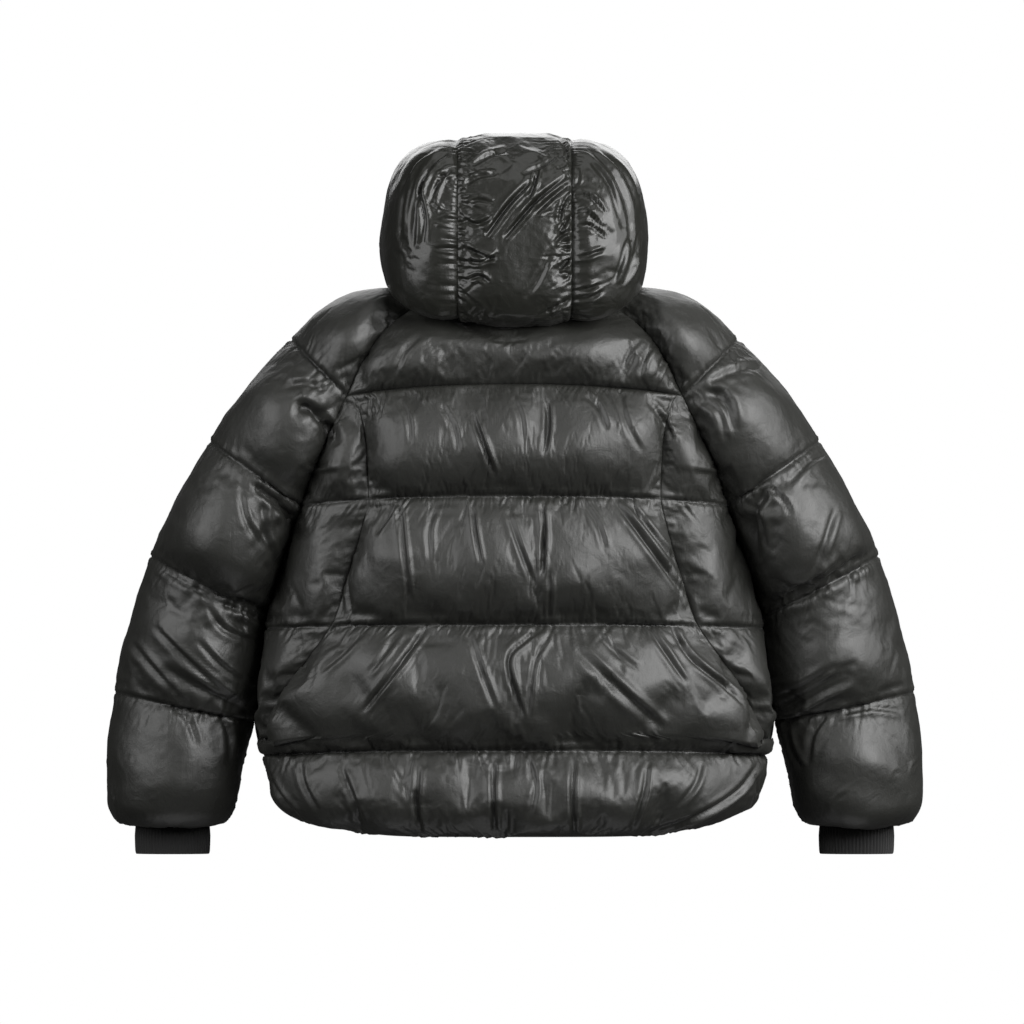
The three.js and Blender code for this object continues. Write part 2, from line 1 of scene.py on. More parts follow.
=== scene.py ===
# Hooded puffer jacket, filled out as if worn, seen from the back.
# Lengths in the tables are millimetres. The meshes are in metres, in the CAD frame.
# Quilting lines are numbered from 0 at the neck to 5 at the hem and at the cuff seam.
import math
import time

import bpy
import numpy as np
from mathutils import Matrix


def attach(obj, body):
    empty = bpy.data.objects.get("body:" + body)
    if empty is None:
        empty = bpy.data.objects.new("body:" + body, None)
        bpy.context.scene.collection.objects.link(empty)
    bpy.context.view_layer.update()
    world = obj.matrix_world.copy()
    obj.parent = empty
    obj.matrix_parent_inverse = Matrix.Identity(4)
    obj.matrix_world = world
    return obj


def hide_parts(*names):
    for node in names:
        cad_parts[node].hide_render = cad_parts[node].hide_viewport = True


started = time.time()


def stage(words):
    print(f"{time.time() - started:6.1f} s  {words}")


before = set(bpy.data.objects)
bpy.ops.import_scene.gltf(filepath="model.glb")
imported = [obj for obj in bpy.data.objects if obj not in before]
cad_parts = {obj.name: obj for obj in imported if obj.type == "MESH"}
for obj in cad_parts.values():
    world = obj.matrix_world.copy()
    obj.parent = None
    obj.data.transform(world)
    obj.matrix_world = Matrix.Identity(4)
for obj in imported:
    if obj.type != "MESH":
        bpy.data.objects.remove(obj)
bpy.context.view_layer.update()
stage("frame loaded")

# camera and light

# level and straight at the back, as in the photo: the width of the frame is that at the plane of the back
view = {"centre": (-3.2, -265.0), "frameWidth": 1280.0, "distance": 16000.0, "plane": 60.0, "sensor": 36}

camera = bpy.data.objects.new("camera", bpy.data.cameras.new("camera"))
camera.location = (view["centre"][0] / 1000, -view["distance"] / 1000, view["centre"][1] / 1000)
camera.rotation_euler = (math.pi / 2, 0, 0)
camera.data.sensor_width = view["sensor"]
camera.data.lens = view["sensor"] * (view["distance"] - view["plane"]) / view["frameWidth"]
camera.data.clip_end = 60
bpy.context.scene.collection.objects.link(camera)
bpy.context.scene.camera = camera

# metres and watts
studio = {"aim": (0.0, 0.0, -0.2), "ambient": 0.03, "floorHeight": -4.5, "floorRadius": 1.5}
lights = {
    "key": {"place": (1.5, -2.0, 0.8), "size": 1.8, "power": 90.0},
    "side": {"place": (2.1, -0.7, 0.45), "size": 1.8, "power": 36.0},
    "fill": {"place": (-2.0, -1.4, 0.6), "size": 2.0, "power": 44.0},
    "top": {"place": (0.1, -0.4, 1.6), "size": 1.0, "power": 4.0},
    "behind": {"place": (0.0, 2.4, 1.4), "size": 2.2, "power": 36.0},
}


def addLight(name, settings):
    lamp = bpy.data.lights.new(name, "AREA")
    lamp.size = settings["size"]
    lamp.energy = settings["power"]
    item = bpy.data.objects.new(name, lamp)
    item.location = settings["place"]
    aim = np.array(studio["aim"]) - np.array(settings["place"])
    flat = math.hypot(aim[0], aim[1])
    item.rotation_euler = (math.atan2(flat, -aim[2]), 0, math.atan2(aim[1], aim[0]) - math.pi / 2)
    bpy.context.scene.collection.objects.link(item)


for lightName, settings in lights.items():
    addLight(lightName, settings)

# shader expressions


class Wire:
    # one socket, or a number or colour, that joins in arithmetic
    def __init__(self, tree, value):
        self.tree = tree
        self.value = value

    def math(self, operation, *others):
        node = self.tree.nodes.new("ShaderNodeMath")
        node.operation = operation
        for place, item in enumerate((self,) + others):
            put(self.tree, item, node.inputs[place])
        return Wire(self.tree, node.outputs[0])

    def __add__(self, other):
        return self.math("ADD", other)

    def __mul__(self, other):
        return self.math("MULTIPLY", other)


def put(tree, item, socket):
    value = item.value if isinstance(item, Wire) else item
    if isinstance(value, bpy.types.NodeSocket):
        tree.links.new(value, socket)
    else:
        socket.default_value = value


def makeNode(tree, kind, settings=None, inputs=None, output=0):
    made = tree.nodes.new(kind)
    for key, value in (settings or {}).items():
        setattr(made, key, value)
    for key, value in (inputs or {}).items():
        put(tree, value, made.inputs[key])
    return Wire(tree, made.outputs[output])


def newMaterial(name):
    material = bpy.data.materials.new(name)
    material.use_nodes = True
    tree = material.node_tree
    tree.nodes.clear()
    output = tree.nodes.new("ShaderNodeOutputMaterial")
    surface = tree.nodes.new("ShaderNodeBsdfPrincipled")
    tree.links.new(surface.outputs[0], output.inputs[0])
    return material, tree, surface


def grey(value):
    return (value, value, value, 1.0)


# two tones in patches and clouds, and three kinds of relief: how many in a metre, and how deep in metres
nylon = {
    "patches": 6.0,
    "clouds": 40.0,
    "dark": (0.0076, 0.0078, 0.0062, 1.0),
    "light": (0.0150, 0.0154, 0.0126, 1.0),
    "wrinkleSize": 46.0,
    "wrinkleDepth": 0.0016,
    "crinkleSize": 150.0,
    "crinkleDepth": 0.00045,
    "streakSize": 9.0,
    "streakDepth": 0.0006,
}


def nylonMaterial(name, roughness, specular, coat, coatRoughness, crisp=1.0):
    material, tree, surface = newMaterial(name)
    place = makeNode(tree, "ShaderNodeTexCoord", output=3)

    def noise(scale, detail, distortion=0.0, source=None):
        inputs = {"Vector": source or place, "Scale": scale, "Detail": detail, "Distortion": distortion}
        return makeNode(tree, "ShaderNodeTexNoise", {"noise_dimensions": "3D"}, inputs)

    tone = noise(nylon["patches"], 3.0) * 0.6 + noise(nylon["clouds"], 4.0) * 0.4
    colour = makeNode(tree, "ShaderNodeMix", {"data_type": "RGBA"},
                      {"Factor": tone, 6: nylon["dark"], 7: nylon["light"]}, output=2)
    put(tree, colour, surface.inputs["Base Color"])
    put(tree, tone * 0.2 + (roughness - 0.1), surface.inputs["Roughness"])
    # soft rumples, fine crinkle, and the long fine streaks of the thin cloth
    rumpled = noise(nylon["wrinkleSize"], 4.0, 1.2)
    crinkled = noise(nylon["crinkleSize"], 3.0, 0.8)
    stretched = makeNode(tree, "ShaderNodeMapping", None, {"Vector": place, "Scale": (26.0, 26.0, 3.2)})
    streaked = noise(nylon["streakSize"], 4.0, 0.6, stretched)
    normal = None
    for height, depth, strength in ((rumpled, nylon["wrinkleDepth"] * crisp, 0.5),
                                    (crinkled, nylon["crinkleDepth"] * crisp, 0.5),
                                    (streaked, nylon["streakDepth"], 0.4)):
        inputs = {"Strength": strength, "Distance": depth, "Height": height}
        if normal:
            inputs["Normal"] = normal
        normal = makeNode(tree, "ShaderNodeBump", None, inputs)
    put(tree, normal, surface.inputs["Normal"])
    surface.inputs["Specular IOR Level"].default_value = specular
    surface.inputs["Coat Weight"].default_value = coat
    surface.inputs["Coat Roughness"].default_value = coatRoughness
    surface.inputs["Sheen Weight"].default_value = 0.02
    surface.inputs["Sheen Roughness"].default_value = 0.3
    return material


def plainCloth(name, colour, roughness, scale, depth):
    material, tree, surface = newMaterial(name)
    place = makeNode(tree, "ShaderNodeTexCoord", output=3)
    fuzz = makeNode(tree, "ShaderNodeTexNoise", None, {"Vector": place, "Scale": scale, "Detail": 3.0})
    darker = tuple(0.55 * c for c in colour[:3]) + (1.0,)
    tint = makeNode(tree, "ShaderNodeMix", {"data_type": "RGBA"},
                    {"Factor": fuzz, 6: darker, 7: colour}, output=2)
    put(tree, tint, surface.inputs["Base Color"])
    put(tree, fuzz * 0.1 + (roughness - 0.05), surface.inputs["Roughness"])
    bump = makeNode(tree, "ShaderNodeBump", None, {"Strength": 0.7, "Distance": depth, "Height": fuzz})
    put(tree, bump, surface.inputs["Normal"])
    surface.inputs["Sheen Weight"].default_value = 0.15
    return material


shellCloth = nylonMaterial("glossy_nylon", roughness=0.54, specular=0.7, coat=0.1, coatRoughness=0.25)
hoodCloth = nylonMaterial("tight_glossy_nylon", roughness=0.46, specular=0.26, coat=0.5, coatRoughness=0.2,
                          crisp=1.5)
ribKnit = plainCloth("rib_knit", grey(0.017), 0.88, 900.0, 0.0004)
zipTape = plainCloth("zip_tape", grey(0.012), 0.7, 1200.0, 0.0002)
zipTooth = plainCloth("zip_tooth", grey(0.02), 0.35, 60.0, 0.0001)
threadCloth = plainCloth("thread", grey(0.008), 0.85, 1500.0, 0.0001)

# sections, the same as in the solids

sleeveTable = {
    "line": [0, 0.2, 0.5, 1, 1.5, 2, 2.62, 3, 3.5, 4, 4.5, 4.8, 4.92, 5],
    "topX": [104, 140, 200, 279, 328, 381, 429, 456, 480, 502, 509, 509, 500, 477.5],
    "topZ": [8, 13, 7, -50, -107, -177, -268, -321, -405, -492, -575, -628, -651, -660],
    "lowX": [95, 135, 175, 209, 240, 266, 296, 308.5, 315, 328, 345, 354, 366, 383.5],
    "lowZ": [2, -18, -56, -120, -188, -257, -349, -398, -462, -528, -594, -638, -655, -660],
    "turn": [90, 91, 95, 108, 122, 142, 180, 180, 180, 180, 180, 180, 180, 180],
    "depth": [66, 82, 102, 112, 110, 104, 98, 90, 86, 80, 76, 68, 46, 25],
    "midY": [0, 0, 1, 4, 7, 10, 12, 40, 54, 58, 58, 56, 55, 55],
}
sideTable = {
    "line": [2.62, 3, 3.5, 4, 4.5, 4.8, 5],
    "x": [296, 311, 315, 314, 289, 265, 247],
    "y": [12, 12, 12, 12, 12, 12, 12],
    "z": [-349, -411, -490, -570, -603, -623, -636],
}
backTable = {
    "line": [0, 0.5, 1, 2, 3, 4, 4.6, 5],
    "midZ": [-6, -56, -106, -245, -405, -562, -632, -670],
    "depth": [86, 114, 130, 140, 140, 136, 130, 116],
    "round": [1.4, 1.4, 1.5, 1.9, 2.4, 2.5, 2.5, 2.5],
    "bend": [2.4, 2.4, 2.4, 3, 4, 4, 6, 7],
}
frontTable = {
    "line": [0, 0.5, 1, 2, 3, 4, 4.6, 5],
    "midZ": [-28, -70, -116, -248, -405, -562, -624, -656],
    "depth": [92, 112, 124, 136, 138, 135, 129, 116],
    "round": [1.6, 1.5, 1.5, 1.9, 2.4, 2.5, 2.5, 2.5],
    "bend": [2.4, 2.4, 2.4, 3, 4, 4, 6, 7],
}
curvedSeamTable = {
    "line": [1, 1.1, 1.57, 1.98, 2.24, 2.67, 2.97, 3.24, 3.41, 3.68, 3.86],
    "x": [203, 196, 184, 182, 190, 210, 226, 256, 276, 300, 310],
}
cut = {"underarm": 2.62, "sideBackEnd": 3.86, "sectionPower": 2.3, "zipHalfWidth": 7.5, "wall": 3.0}
puff = {"yoke": 24, "back": 30, "sideBack": 22, "front": 26, "sleeve": 22, "hood": 7}
hoodSizes = {"seamX": 71.0, "crown": 1.0, "sag": 7.0, "fullest": 158.0, "backCorner": 11 / 24, "rise": 65.0}
hoodProfile = {
    "y": [-86, -104, -124, -146, -161, -168, -171, -166, -151, -119, -70, -14, 40, 84, 114],
    "z": [-5.5, -11, -22, -24, -9, 26, 71, 114, 155, 186, 198, 200, 195, 183, 167],
}
faceEdge = {
    "x": [71, 88, 94, 84, 54, 7.5],
    "y": [114, 124, 130, 132, 126, 108],
    "z": [167, 136, 96, 56, 28, 14],
}


def between(table, column, line):
    # smooth value of one column, with no overshoot between its rows
    xs = np.array(table["line"], float)
    ys = np.array(table[column], float)
    slope = np.diff(ys) / np.diff(xs)
    tangent = np.concatenate(([slope[0]], np.zeros(len(slope) - 1), [slope[-1]]))
    for j in range(1, len(slope)):
        product = slope[j - 1] * slope[j]
        tangent[j] = 2 * product / (slope[j - 1] + slope[j]) if product > 0 else 0.0
    at = np.clip(np.asarray(line, float), xs[0], xs[-1])
    i = np.clip(np.searchsorted(xs, at, side="right") - 1, 0, len(xs) - 2)
    span = xs[i + 1] - xs[i]
    t = (at - xs[i]) / span
    ease = t * (1 - t) ** 2 * tangent[i] - t * t * (1 - t) * tangent[i + 1]
    return ys[i] + (ys[i + 1] - ys[i]) * t * t * (3 - 2 * t) + span * ease


def sleevePoint(line, roundShare):
    # the share goes from 0 on the top of the sleeve to 1 at its seam behind, and to -1 in front
    turn = np.radians(between(sleeveTable, "turn", line))
    topX = between(sleeveTable, "topX", line)
    topZ = between(sleeveTable, "topZ", line)
    share = (1 - np.cos(roundShare * turn)) / (1 - np.cos(turn))
    x = topX + (between(sleeveTable, "lowX", line) - topX) * share
    y = between(sleeveTable, "midY", line) - between(sleeveTable, "depth", line) * np.sin(roundShare * turn)
    z = topZ + (between(sleeveTable, "lowZ", line) - topZ) * share
    return np.stack(np.broadcast_arrays(x, y, z), axis=-1)


def bodyEdge(line, side):
    # where a body panel ends at the side: at the raglan seam, and below it at the side seam
    line = np.asarray(line, float)
    seam = sleevePoint(line, side)
    below = np.stack([between(sideTable, key, line) for key in "xyz"], axis=-1)
    return np.where((line <= cut["underarm"])[..., None], seam, below)


def bodyPoint(line, across, side):
    # side 1 is the back and -1 the front, and across goes from -1 at the left seam to 1 at the right one
    table = backTable if side > 0 else frontTable
    line, across = np.broadcast_arrays(np.asarray(line, float), np.asarray(across, float))
    edge = bodyEdge(line, side)
    angle = np.abs(across) * math.pi / 2
    share = np.sin(angle) ** (2 / cut["sectionPower"])
    fullness = np.maximum(np.cos(angle), 0) ** (2 / between(table, "round", line))
    middleY = -side * between(table, "depth", line)
    middleZ = between(table, "midZ", line)
    x = np.sign(across) * edge[..., 0] * share
    y = edge[..., 1] + (middleY - edge[..., 1]) * fullness
    z = middleZ + (edge[..., 2] - middleZ) * share ** between(table, "bend", line)
    return np.stack((x, y, z), axis=-1)


def acrossAt(line, x):
    # the place across the back at which the body is x wide
    share = np.clip(x / bodyEdge(line, 1)[..., 0], 0, 1)
    return np.arcsin(share ** (cut["sectionPower"] / 2)) * 2 / math.pi


def curvedSeamAcross(line):
    line = np.asarray(line, float)
    seam = acrossAt(line, between(curvedSeamTable, "x", line))
    return np.where(line > cut["sideBackEnd"], 1.0, seam)


def smoothCurve(points, count=400):
    # points of a rounded curve through a few given ones, at even steps along it
    points = np.asarray(points, float)
    steps = np.concatenate(([0], np.cumsum(np.linalg.norm(np.diff(points, axis=0), axis=1) ** 0.5)))
    padded = np.vstack((2 * points[0] - points[1], points, 2 * points[-1] - points[-2]))
    knots = np.concatenate(([2 * steps[0] - steps[1]], steps, [2 * steps[-1] - steps[-2]]))
    fine = []
    for k in range(1, len(points)):
        t = np.linspace(knots[k], knots[k + 1], 60, endpoint=k == len(points) - 1)[:, None]
        p = padded[k - 1:k + 3]
        q = knots[k - 1:k + 3]
        a = [((q[j + 1] - t) * p[j] + (t - q[j]) * p[j + 1]) / (q[j + 1] - q[j]) for j in range(3)]
        b = [((q[j + 2] - t) * a[j] + (t - q[j]) * a[j + 1]) / (q[j + 2] - q[j]) for j in range(2)]
        fine.append(((q[2] - t) * b[0] + (t - q[1]) * b[1]) / (q[2] - q[1]))
    return evenSteps(np.vstack(fine), count)


def evenSteps(points, count):
    lengths = np.concatenate(([0], np.cumsum(np.linalg.norm(np.diff(points, axis=0), axis=1))))
    targets = np.linspace(0, lengths[-1], count)
    return np.stack([np.interp(targets, lengths, points[:, k]) for k in range(points.shape[1])], axis=1)


def smooth(value, low, high):
    t = np.clip((np.asarray(value, float) - low) / (high - low), 0, 1)
    return t * t * (3 - 2 * t)


hoodLine = smoothCurve(np.column_stack((np.zeros(15), hoodProfile["y"], hoodProfile["z"])))
faceLine = smoothCurve(np.column_stack((faceEdge["x"], faceEdge["y"], faceEdge["z"])))


def curveAt(curve, share):
    place = np.clip(np.asarray(share, float), 0, 1) * (len(curve) - 1)
    return np.stack([np.interp(place, np.arange(len(curve)), curve[:, k]) for k in range(3)], axis=-1)


def hoodOutward(share):
    # square to the hood's middle line
    along = curveAt(hoodLine, np.asarray(share) + 0.004) - curveAt(hoodLine, np.asarray(share) - 0.004)
    along /= np.linalg.norm(along, axis=-1, keepdims=True)
    return np.stack((0 * along[..., 0], -along[..., 2], along[..., 1]), axis=-1)


def hoodMiddle(share, across):
    # the middle panel, which narrows towards the neck seam and ends on the yoke
    share, across = np.broadcast_arrays(np.asarray(share, float), np.asarray(across, float))
    x = across * (hoodSizes["seamX"] - 9 * (1 - np.clip(share / 0.2, 0, 1)) ** 2)
    start = bodyPoint(np.zeros_like(x), np.sign(x) * acrossAt(np.zeros_like(x), np.abs(x)), 1)
    hold = (1 - np.clip(share / 0.16, 0, 1)) ** 1.5
    sag = hoodSizes["sag"] * smooth(share, 0.03, 0.1) * (1 - smooth(share, 0.18, 0.34))
    crown = (1 - across ** 2) * (sag + hoodSizes["crown"] * smooth(share, 0.14, 0.34))
    point = curveAt(hoodLine, share) + hoodOutward(share) * crown[..., None]
    point[..., 0] = x
    point[..., 1] += (start[..., 1] - hoodLine[0, 1]) * hold
    point[..., 2] += (start[..., 2] + 0.9 - hoodLine[0, 2]) * hold
    return point


def neckline(count=400):
    # from the back of the hood's middle panel round to the zip
    back = bodyPoint(0.0, np.linspace(float(acrossAt(0.0, 62.0)), 1, 60), 1)
    top = sleevePoint(0.0, np.linspace(1, -1, 120))
    front = bodyPoint(0.0, np.linspace(1, float(acrossAt(0.0, cut["zipHalfWidth"])), 60), -1)
    return evenSteps(np.vstack((back, top[1:], front[1:])) + (0, 0, 0.9), count)


def hoodSidePatch(rows, columns):
    # columns run from the back of the head to the face, rows from the crown down to the neck
    corner = hoodSizes["backCorner"]
    u = np.linspace(0, 1, columns)
    v = np.linspace(0, 1, rows)
    top = evenSteps(hoodMiddle(np.linspace(corner, 1, 200), 1.0), columns)
    back = evenSteps(hoodMiddle(np.linspace(corner, 0, 200), 1.0), rows)
    neck = evenSteps(neckline(), columns)
    chin = np.linspace(faceLine[-1], neck[-1], 60)
    face = evenSteps(np.vstack((faceLine, chin[1:])), rows)
    uu = u[None, :, None]
    vv = v[:, None, None]
    sheet = (1 - vv) * top[None] + vv * neck[None] + (1 - uu) * back[:, None] + uu * face[:, None]
    sheet = sheet - ((1 - uu) * (1 - vv) * top[0] + uu * (1 - vv) * top[-1]
                     + (1 - uu) * vv * neck[0] + uu * vv * neck[-1])
    dome = ((1 - np.abs(2 * uu[..., 0] - 1) ** 2.2) * (1 - np.abs(2 * vv[..., 0] - 1) ** 2)) ** 0.5
    sheet[..., 0] += (hoodSizes["fullest"] - sheet[..., 0]) * dome
    sheet[..., 2] += hoodSizes["rise"] * dome * smooth(v, 0.7, 0.95)[:, None]
    return sheet


# panels

# points across each panel, and rows in each baffle
panelGrid = {"rowsPerBaffle": 26, "yoke": 110, "centreBack": 184, "sideBack": 30, "front": 78,
             "sleeve": 104, "hoodRows": 196, "hoodColumns": 44, "hoodSideRows": 82, "hoodSideColumns": 94}


def linesOf(first, last):
    lines = [first]
    steps = panelGrid["rowsPerBaffle"]
    for baffle in range(int(math.floor(first)), int(math.ceil(last))):
        low = max(first, baffle)
        high = min(last, baffle + 1)
        count = max(2, round(steps * (high - low)))
        lines += list(np.linspace(low, high, count + 1)[1:])
    return np.array(lines)


def gridNormals(grid, guide):
    # unit normals of a grid of points, turned the way the guide vectors point
    normal = np.cross(np.gradient(grid, axis=0), np.gradient(grid, axis=1))
    normal /= np.linalg.norm(normal, axis=-1, keepdims=True) + 1e-9
    return normal if np.sum(normal * guide) > 0 else -normal


def baffleFill(lines, sag=1.3):
    # nothing at the quilting lines and fullest below the middle, where the fill sinks to
    down = lines - np.floor(lines)
    return np.sin(math.pi * down ** sag) ** 0.7


def besideSeam(distance, reach):
    # rises from nothing at the seam to full at the reach
    return 1 - (1 - np.clip(distance / reach, 0, 1)) ** 2.2


def betweenSeams(left, right, reach):
    return besideSeam(left, reach) * besideSeam(right, reach)


def pressed(lines):
    # the fill is pressed flat where the sleeve leans on the body
    return 1 - np.clip(1 - np.abs(lines - 2.8) / np.where(lines < 2.8, 1.1, 0.85), 0, 1) ** 0.3


def evenRows(grid, count):
    return np.stack([evenSteps(row, count) for row in grid])


def edgeDistances(grid):
    step = np.linalg.norm(np.diff(grid, axis=1), axis=-1)
    left = np.concatenate((np.zeros((len(grid), 1)), np.cumsum(step, axis=1)), axis=1)
    return left, left[:, -1:] - left


def mirrorGrid(grid):
    return grid[:, ::-1] * (-1, 1, 1)


def bodyPanel(lines, columns, start, stop, side, fillHeight):
    # the plain surface of a panel, its normals, and how high the fill stands on it
    across = start(lines)[:, None] + (stop(lines) - start(lines))[:, None] * np.linspace(0, 1, 160)[None]
    base = evenRows(bodyPoint(lines[:, None], across, side), columns)
    inside = base * (0, 0, 1) + (0, 10, 0)
    left, right = edgeDistances(base)
    return base, gridNormals(base, base - inside), fillHeight(lines[:, None], left, right)


def yokePanel():
    fill = lambda line, left, right: puff["yoke"] * baffleFill(line, 2.1) * betweenSeams(left, right, 46)
    return bodyPanel(linesOf(0, 1), panelGrid["yoke"], lambda n: -np.ones_like(n), np.ones_like, 1, fill)


def centreBackPanel():
    fill = lambda line, left, right: puff["back"] * baffleFill(line) * betweenSeams(left, right, 46)
    return bodyPanel(linesOf(1, 5), panelGrid["centreBack"], lambda n: -curvedSeamAcross(n),
                     curvedSeamAcross, 1, fill)


def sideBackPanel():
    def fill(line, left, right):
        t = left / (left + right + 1e-6)
        side = besideSeam(right, 70) * (1 + (pressed(line) - 1) * t)
        return puff["sideBack"] * baffleFill(line) * besideSeam(left, 40) * side

    lines = linesOf(1, cut["sideBackEnd"] - 0.02)
    return bodyPanel(lines, panelGrid["sideBack"], curvedSeamAcross, np.ones_like, 1, fill)


def frontPanel():
    def fill(line, left, right):
        t = left / (left + right + 1e-6)
        side = besideSeam(right, 80) * (1 + (pressed(line) - 1) * t ** 2.5)
        sag = np.where(line < 1, 1.5, 1.3)
        return puff["front"] * baffleFill(line, sag) * besideSeam(left, 34) * side

    return bodyPanel(linesOf(0, 5), panelGrid["front"], lambda n: acrossAt(n, cut["zipHalfWidth"]),
                     np.ones_like, -1, fill)


def sleevePanel():
    lines = linesOf(0, 5)
    base = evenRows(sleevePoint(lines[:, None], np.linspace(-1, 1, 200)[None]), panelGrid["sleeve"])
    middle = base.mean(axis=1, keepdims=True)
    share = np.linspace(-1, 1, panelGrid["sleeve"])[None]
    angle = np.radians(between(sleeveTable, "turn", lines))[:, None] * share
    lower = np.where(np.abs(angle) > math.pi / 2, pressed(lines)[:, None], 1.0)
    face = (0.2 + 0.8 * np.sin(angle) ** 2) * (1 + (lower - 1) * np.cos(angle) ** 2)
    sag = np.where(lines < 1, 1.6, 1.3)[:, None]
    left, right = edgeDistances(base)
    height = puff["sleeve"] * face * baffleFill(lines[:, None], sag) * betweenSeams(left, right, 40)
    return base, gridNormals(base, base - middle), height


def hoodCentrePanel():
    share = np.linspace(0, 1, panelGrid["hoodRows"])[:, None]
    across = np.linspace(-1, 1, panelGrid["hoodColumns"])[None]
    base = hoodMiddle(share, across)
    left, right = edgeDistances(base)
    ends = smooth(share, 0.03, 0.2) * (1 - smooth(share, 0.9, 1))
    height = 0.7 * puff["hood"] * ends * betweenSeams(left, right, 40)
    return base, gridNormals(base, base - (0, -20, 80)), height


def hoodSidePanel():
    base = hoodSidePatch(panelGrid["hoodSideRows"], panelGrid["hoodSideColumns"])
    left, right = edgeDistances(base)
    flipped = np.swapaxes(base, 0, 1)
    top, bottom = (np.swapaxes(d, 0, 1) for d in edgeDistances(flipped))
    height = puff["hood"] * betweenSeams(left, right, 40) * besideSeam(top, 90) * besideSeam(bottom, 150)
    return base, gridNormals(base, base - (40, -20, 80)), height


# cloth

clothSettings = {"frames": 16, "quality": 4, "mass": 0.2, "damping": 4.0, "tension": 12.0, "shear": 3.0,
                 "bending": 0.06, "lump": 1.6}
# pressure, share by which the sheet is cut larger, and how far a point may move in mm
clothByPanel = {
    "yoke": (1.4, 0.02, 9.0),
    "back": (1.4, 0.02, 9.0),
    "sideBack": (1.2, 0.02, 8.0),
    "front": (1.4, 0.02, 9.0),
    "sleeve": (1.1, 0.02, 8.0),
    "hood": (0.35, 0.012, 3.0),
}


def rumple(grid, seed, size):
    # gentle unevenness of the fill, from a few long waves in different directions
    dice = np.random.default_rng(seed)
    height = np.zeros(grid.shape[:2])
    for k in range(14):
        way = dice.normal(size=3)
        way /= np.linalg.norm(way)
        length = dice.uniform(45, 150)
        height += np.sin(grid @ way * 2 * math.pi / length + dice.uniform(0, 6.3))
    return height * size / 3.7


def indexQuads(index):
    # the faces of a grid of point numbers
    corners = (index[:-1, :-1], index[:-1, 1:], index[1:, 1:], index[1:, :-1])
    return np.stack(corners, axis=-1).reshape(-1, 4)


def gridQuads(grid, normal):
    # faces of a grid of points, turned to look outward
    rows, columns = grid.shape[:2]
    quads = indexQuads(np.arange(rows * columns).reshape(rows, columns))
    middle = (rows // 2, columns // 2)
    across = grid[middle[0], middle[1] + 1] - grid[middle]
    down = grid[middle[0] + 1, middle[1]] - grid[middle]
    return quads if np.dot(np.cross(across, down), normal[middle]) > 0 else quads[:, ::-1]


def makeSheet(name, grid, normal, pinned):
    quads = gridQuads(grid, normal)
    mesh = bpy.data.meshes.new(name)
    mesh.from_pydata((grid.reshape(-1, 3) / 1000).tolist(), [], quads.tolist())
    item = bpy.data.objects.new(name, mesh)
    bpy.context.scene.collection.objects.link(item)
    group = item.vertex_groups.new(name="held")
    group.add(np.flatnonzero(pinned.reshape(-1)).tolist(), 1.0, "REPLACE")
    return item


def pinRows(lines, columns):
    # the stitching holds every quilting line and all four edges
    held = np.zeros((len(lines), columns), bool)
    held[np.abs(lines - np.round(lines)) < 1e-6] = True
    held[[0, -1]] = True
    held[:, [0, -1]] = True
    return held


def addCloth(item, pressure, larger):
    cloth = item.modifiers.new("cloth", "CLOTH")
    rules = cloth.settings
    rules.quality = clothSettings["quality"]
    rules.mass = clothSettings["mass"]
    rules.air_damping = clothSettings["damping"]
    rules.tension_stiffness = rules.compression_stiffness = clothSettings["tension"]
    rules.shear_stiffness = clothSettings["shear"]
    rules.bending_stiffness = clothSettings["bending"]
    rules.vertex_group_mass = "held"
    rules.shrink_min = -larger
    rules.use_pressure = True
    rules.uniform_pressure_force = pressure
    rules.effector_weights.gravity = 0.0
    cloth.collision_settings.use_collision = False
    cloth.collision_settings.use_self_collision = False
    cloth.point_cache.frame_start = 1
    cloth.point_cache.frame_end = clothSettings["frames"] + 2


def inflate(items):
    # every sheet swells at once, and the points of the last frame are kept
    scene = bpy.context.scene
    for number in range(1, clothSettings["frames"] + 1):
        scene.frame_set(number)
    graph = bpy.context.evaluated_depsgraph_get()
    found = []
    for item in items:
        mesh = item.evaluated_get(graph).data
        flat = np.empty(len(mesh.vertices) * 3)
        mesh.vertices.foreach_get("co", flat)
        found.append(flat.reshape(-1, 3) * 1000)
    return found


panels = {}


def addPanel(name, kind, panel, lines=None, seed=1):
    # the sheet starts a little under its full height, and the cloth swells and puckers from there
    base, normal, height = panel
    rows, columns = base.shape[:2]
    lines = np.linspace(0, 1, rows) if lines is None else lines
    held = pinRows(lines, columns)
    start = base + normal * (height * (1 + rumple(base, seed, 0.1)))[..., None]
    lump = rumple(base, seed + 50, clothSettings["lump"]) * np.minimum(height / 12, 1)
    start = start + normal * np.where(held, 0, lump)[..., None]
    angle = np.radians(between(sleeveTable, "turn", lines))[:, None] * np.linspace(-1, 1, columns)[None]
    give = 0.3 + 0.7 * np.sin(angle) ** 2 if kind == "sleeve" else np.ones((rows, columns))
    panels[name] = {"kind": kind, "seed": seed, "lines": lines, "base": base, "normal": normal,
                    "start": start, "held": held, "give": give[..., None]}


def mirrored(panel):
    base, normal, height = panel
    return mirrorGrid(base), mirrorGrid(normal), height[:, ::-1]


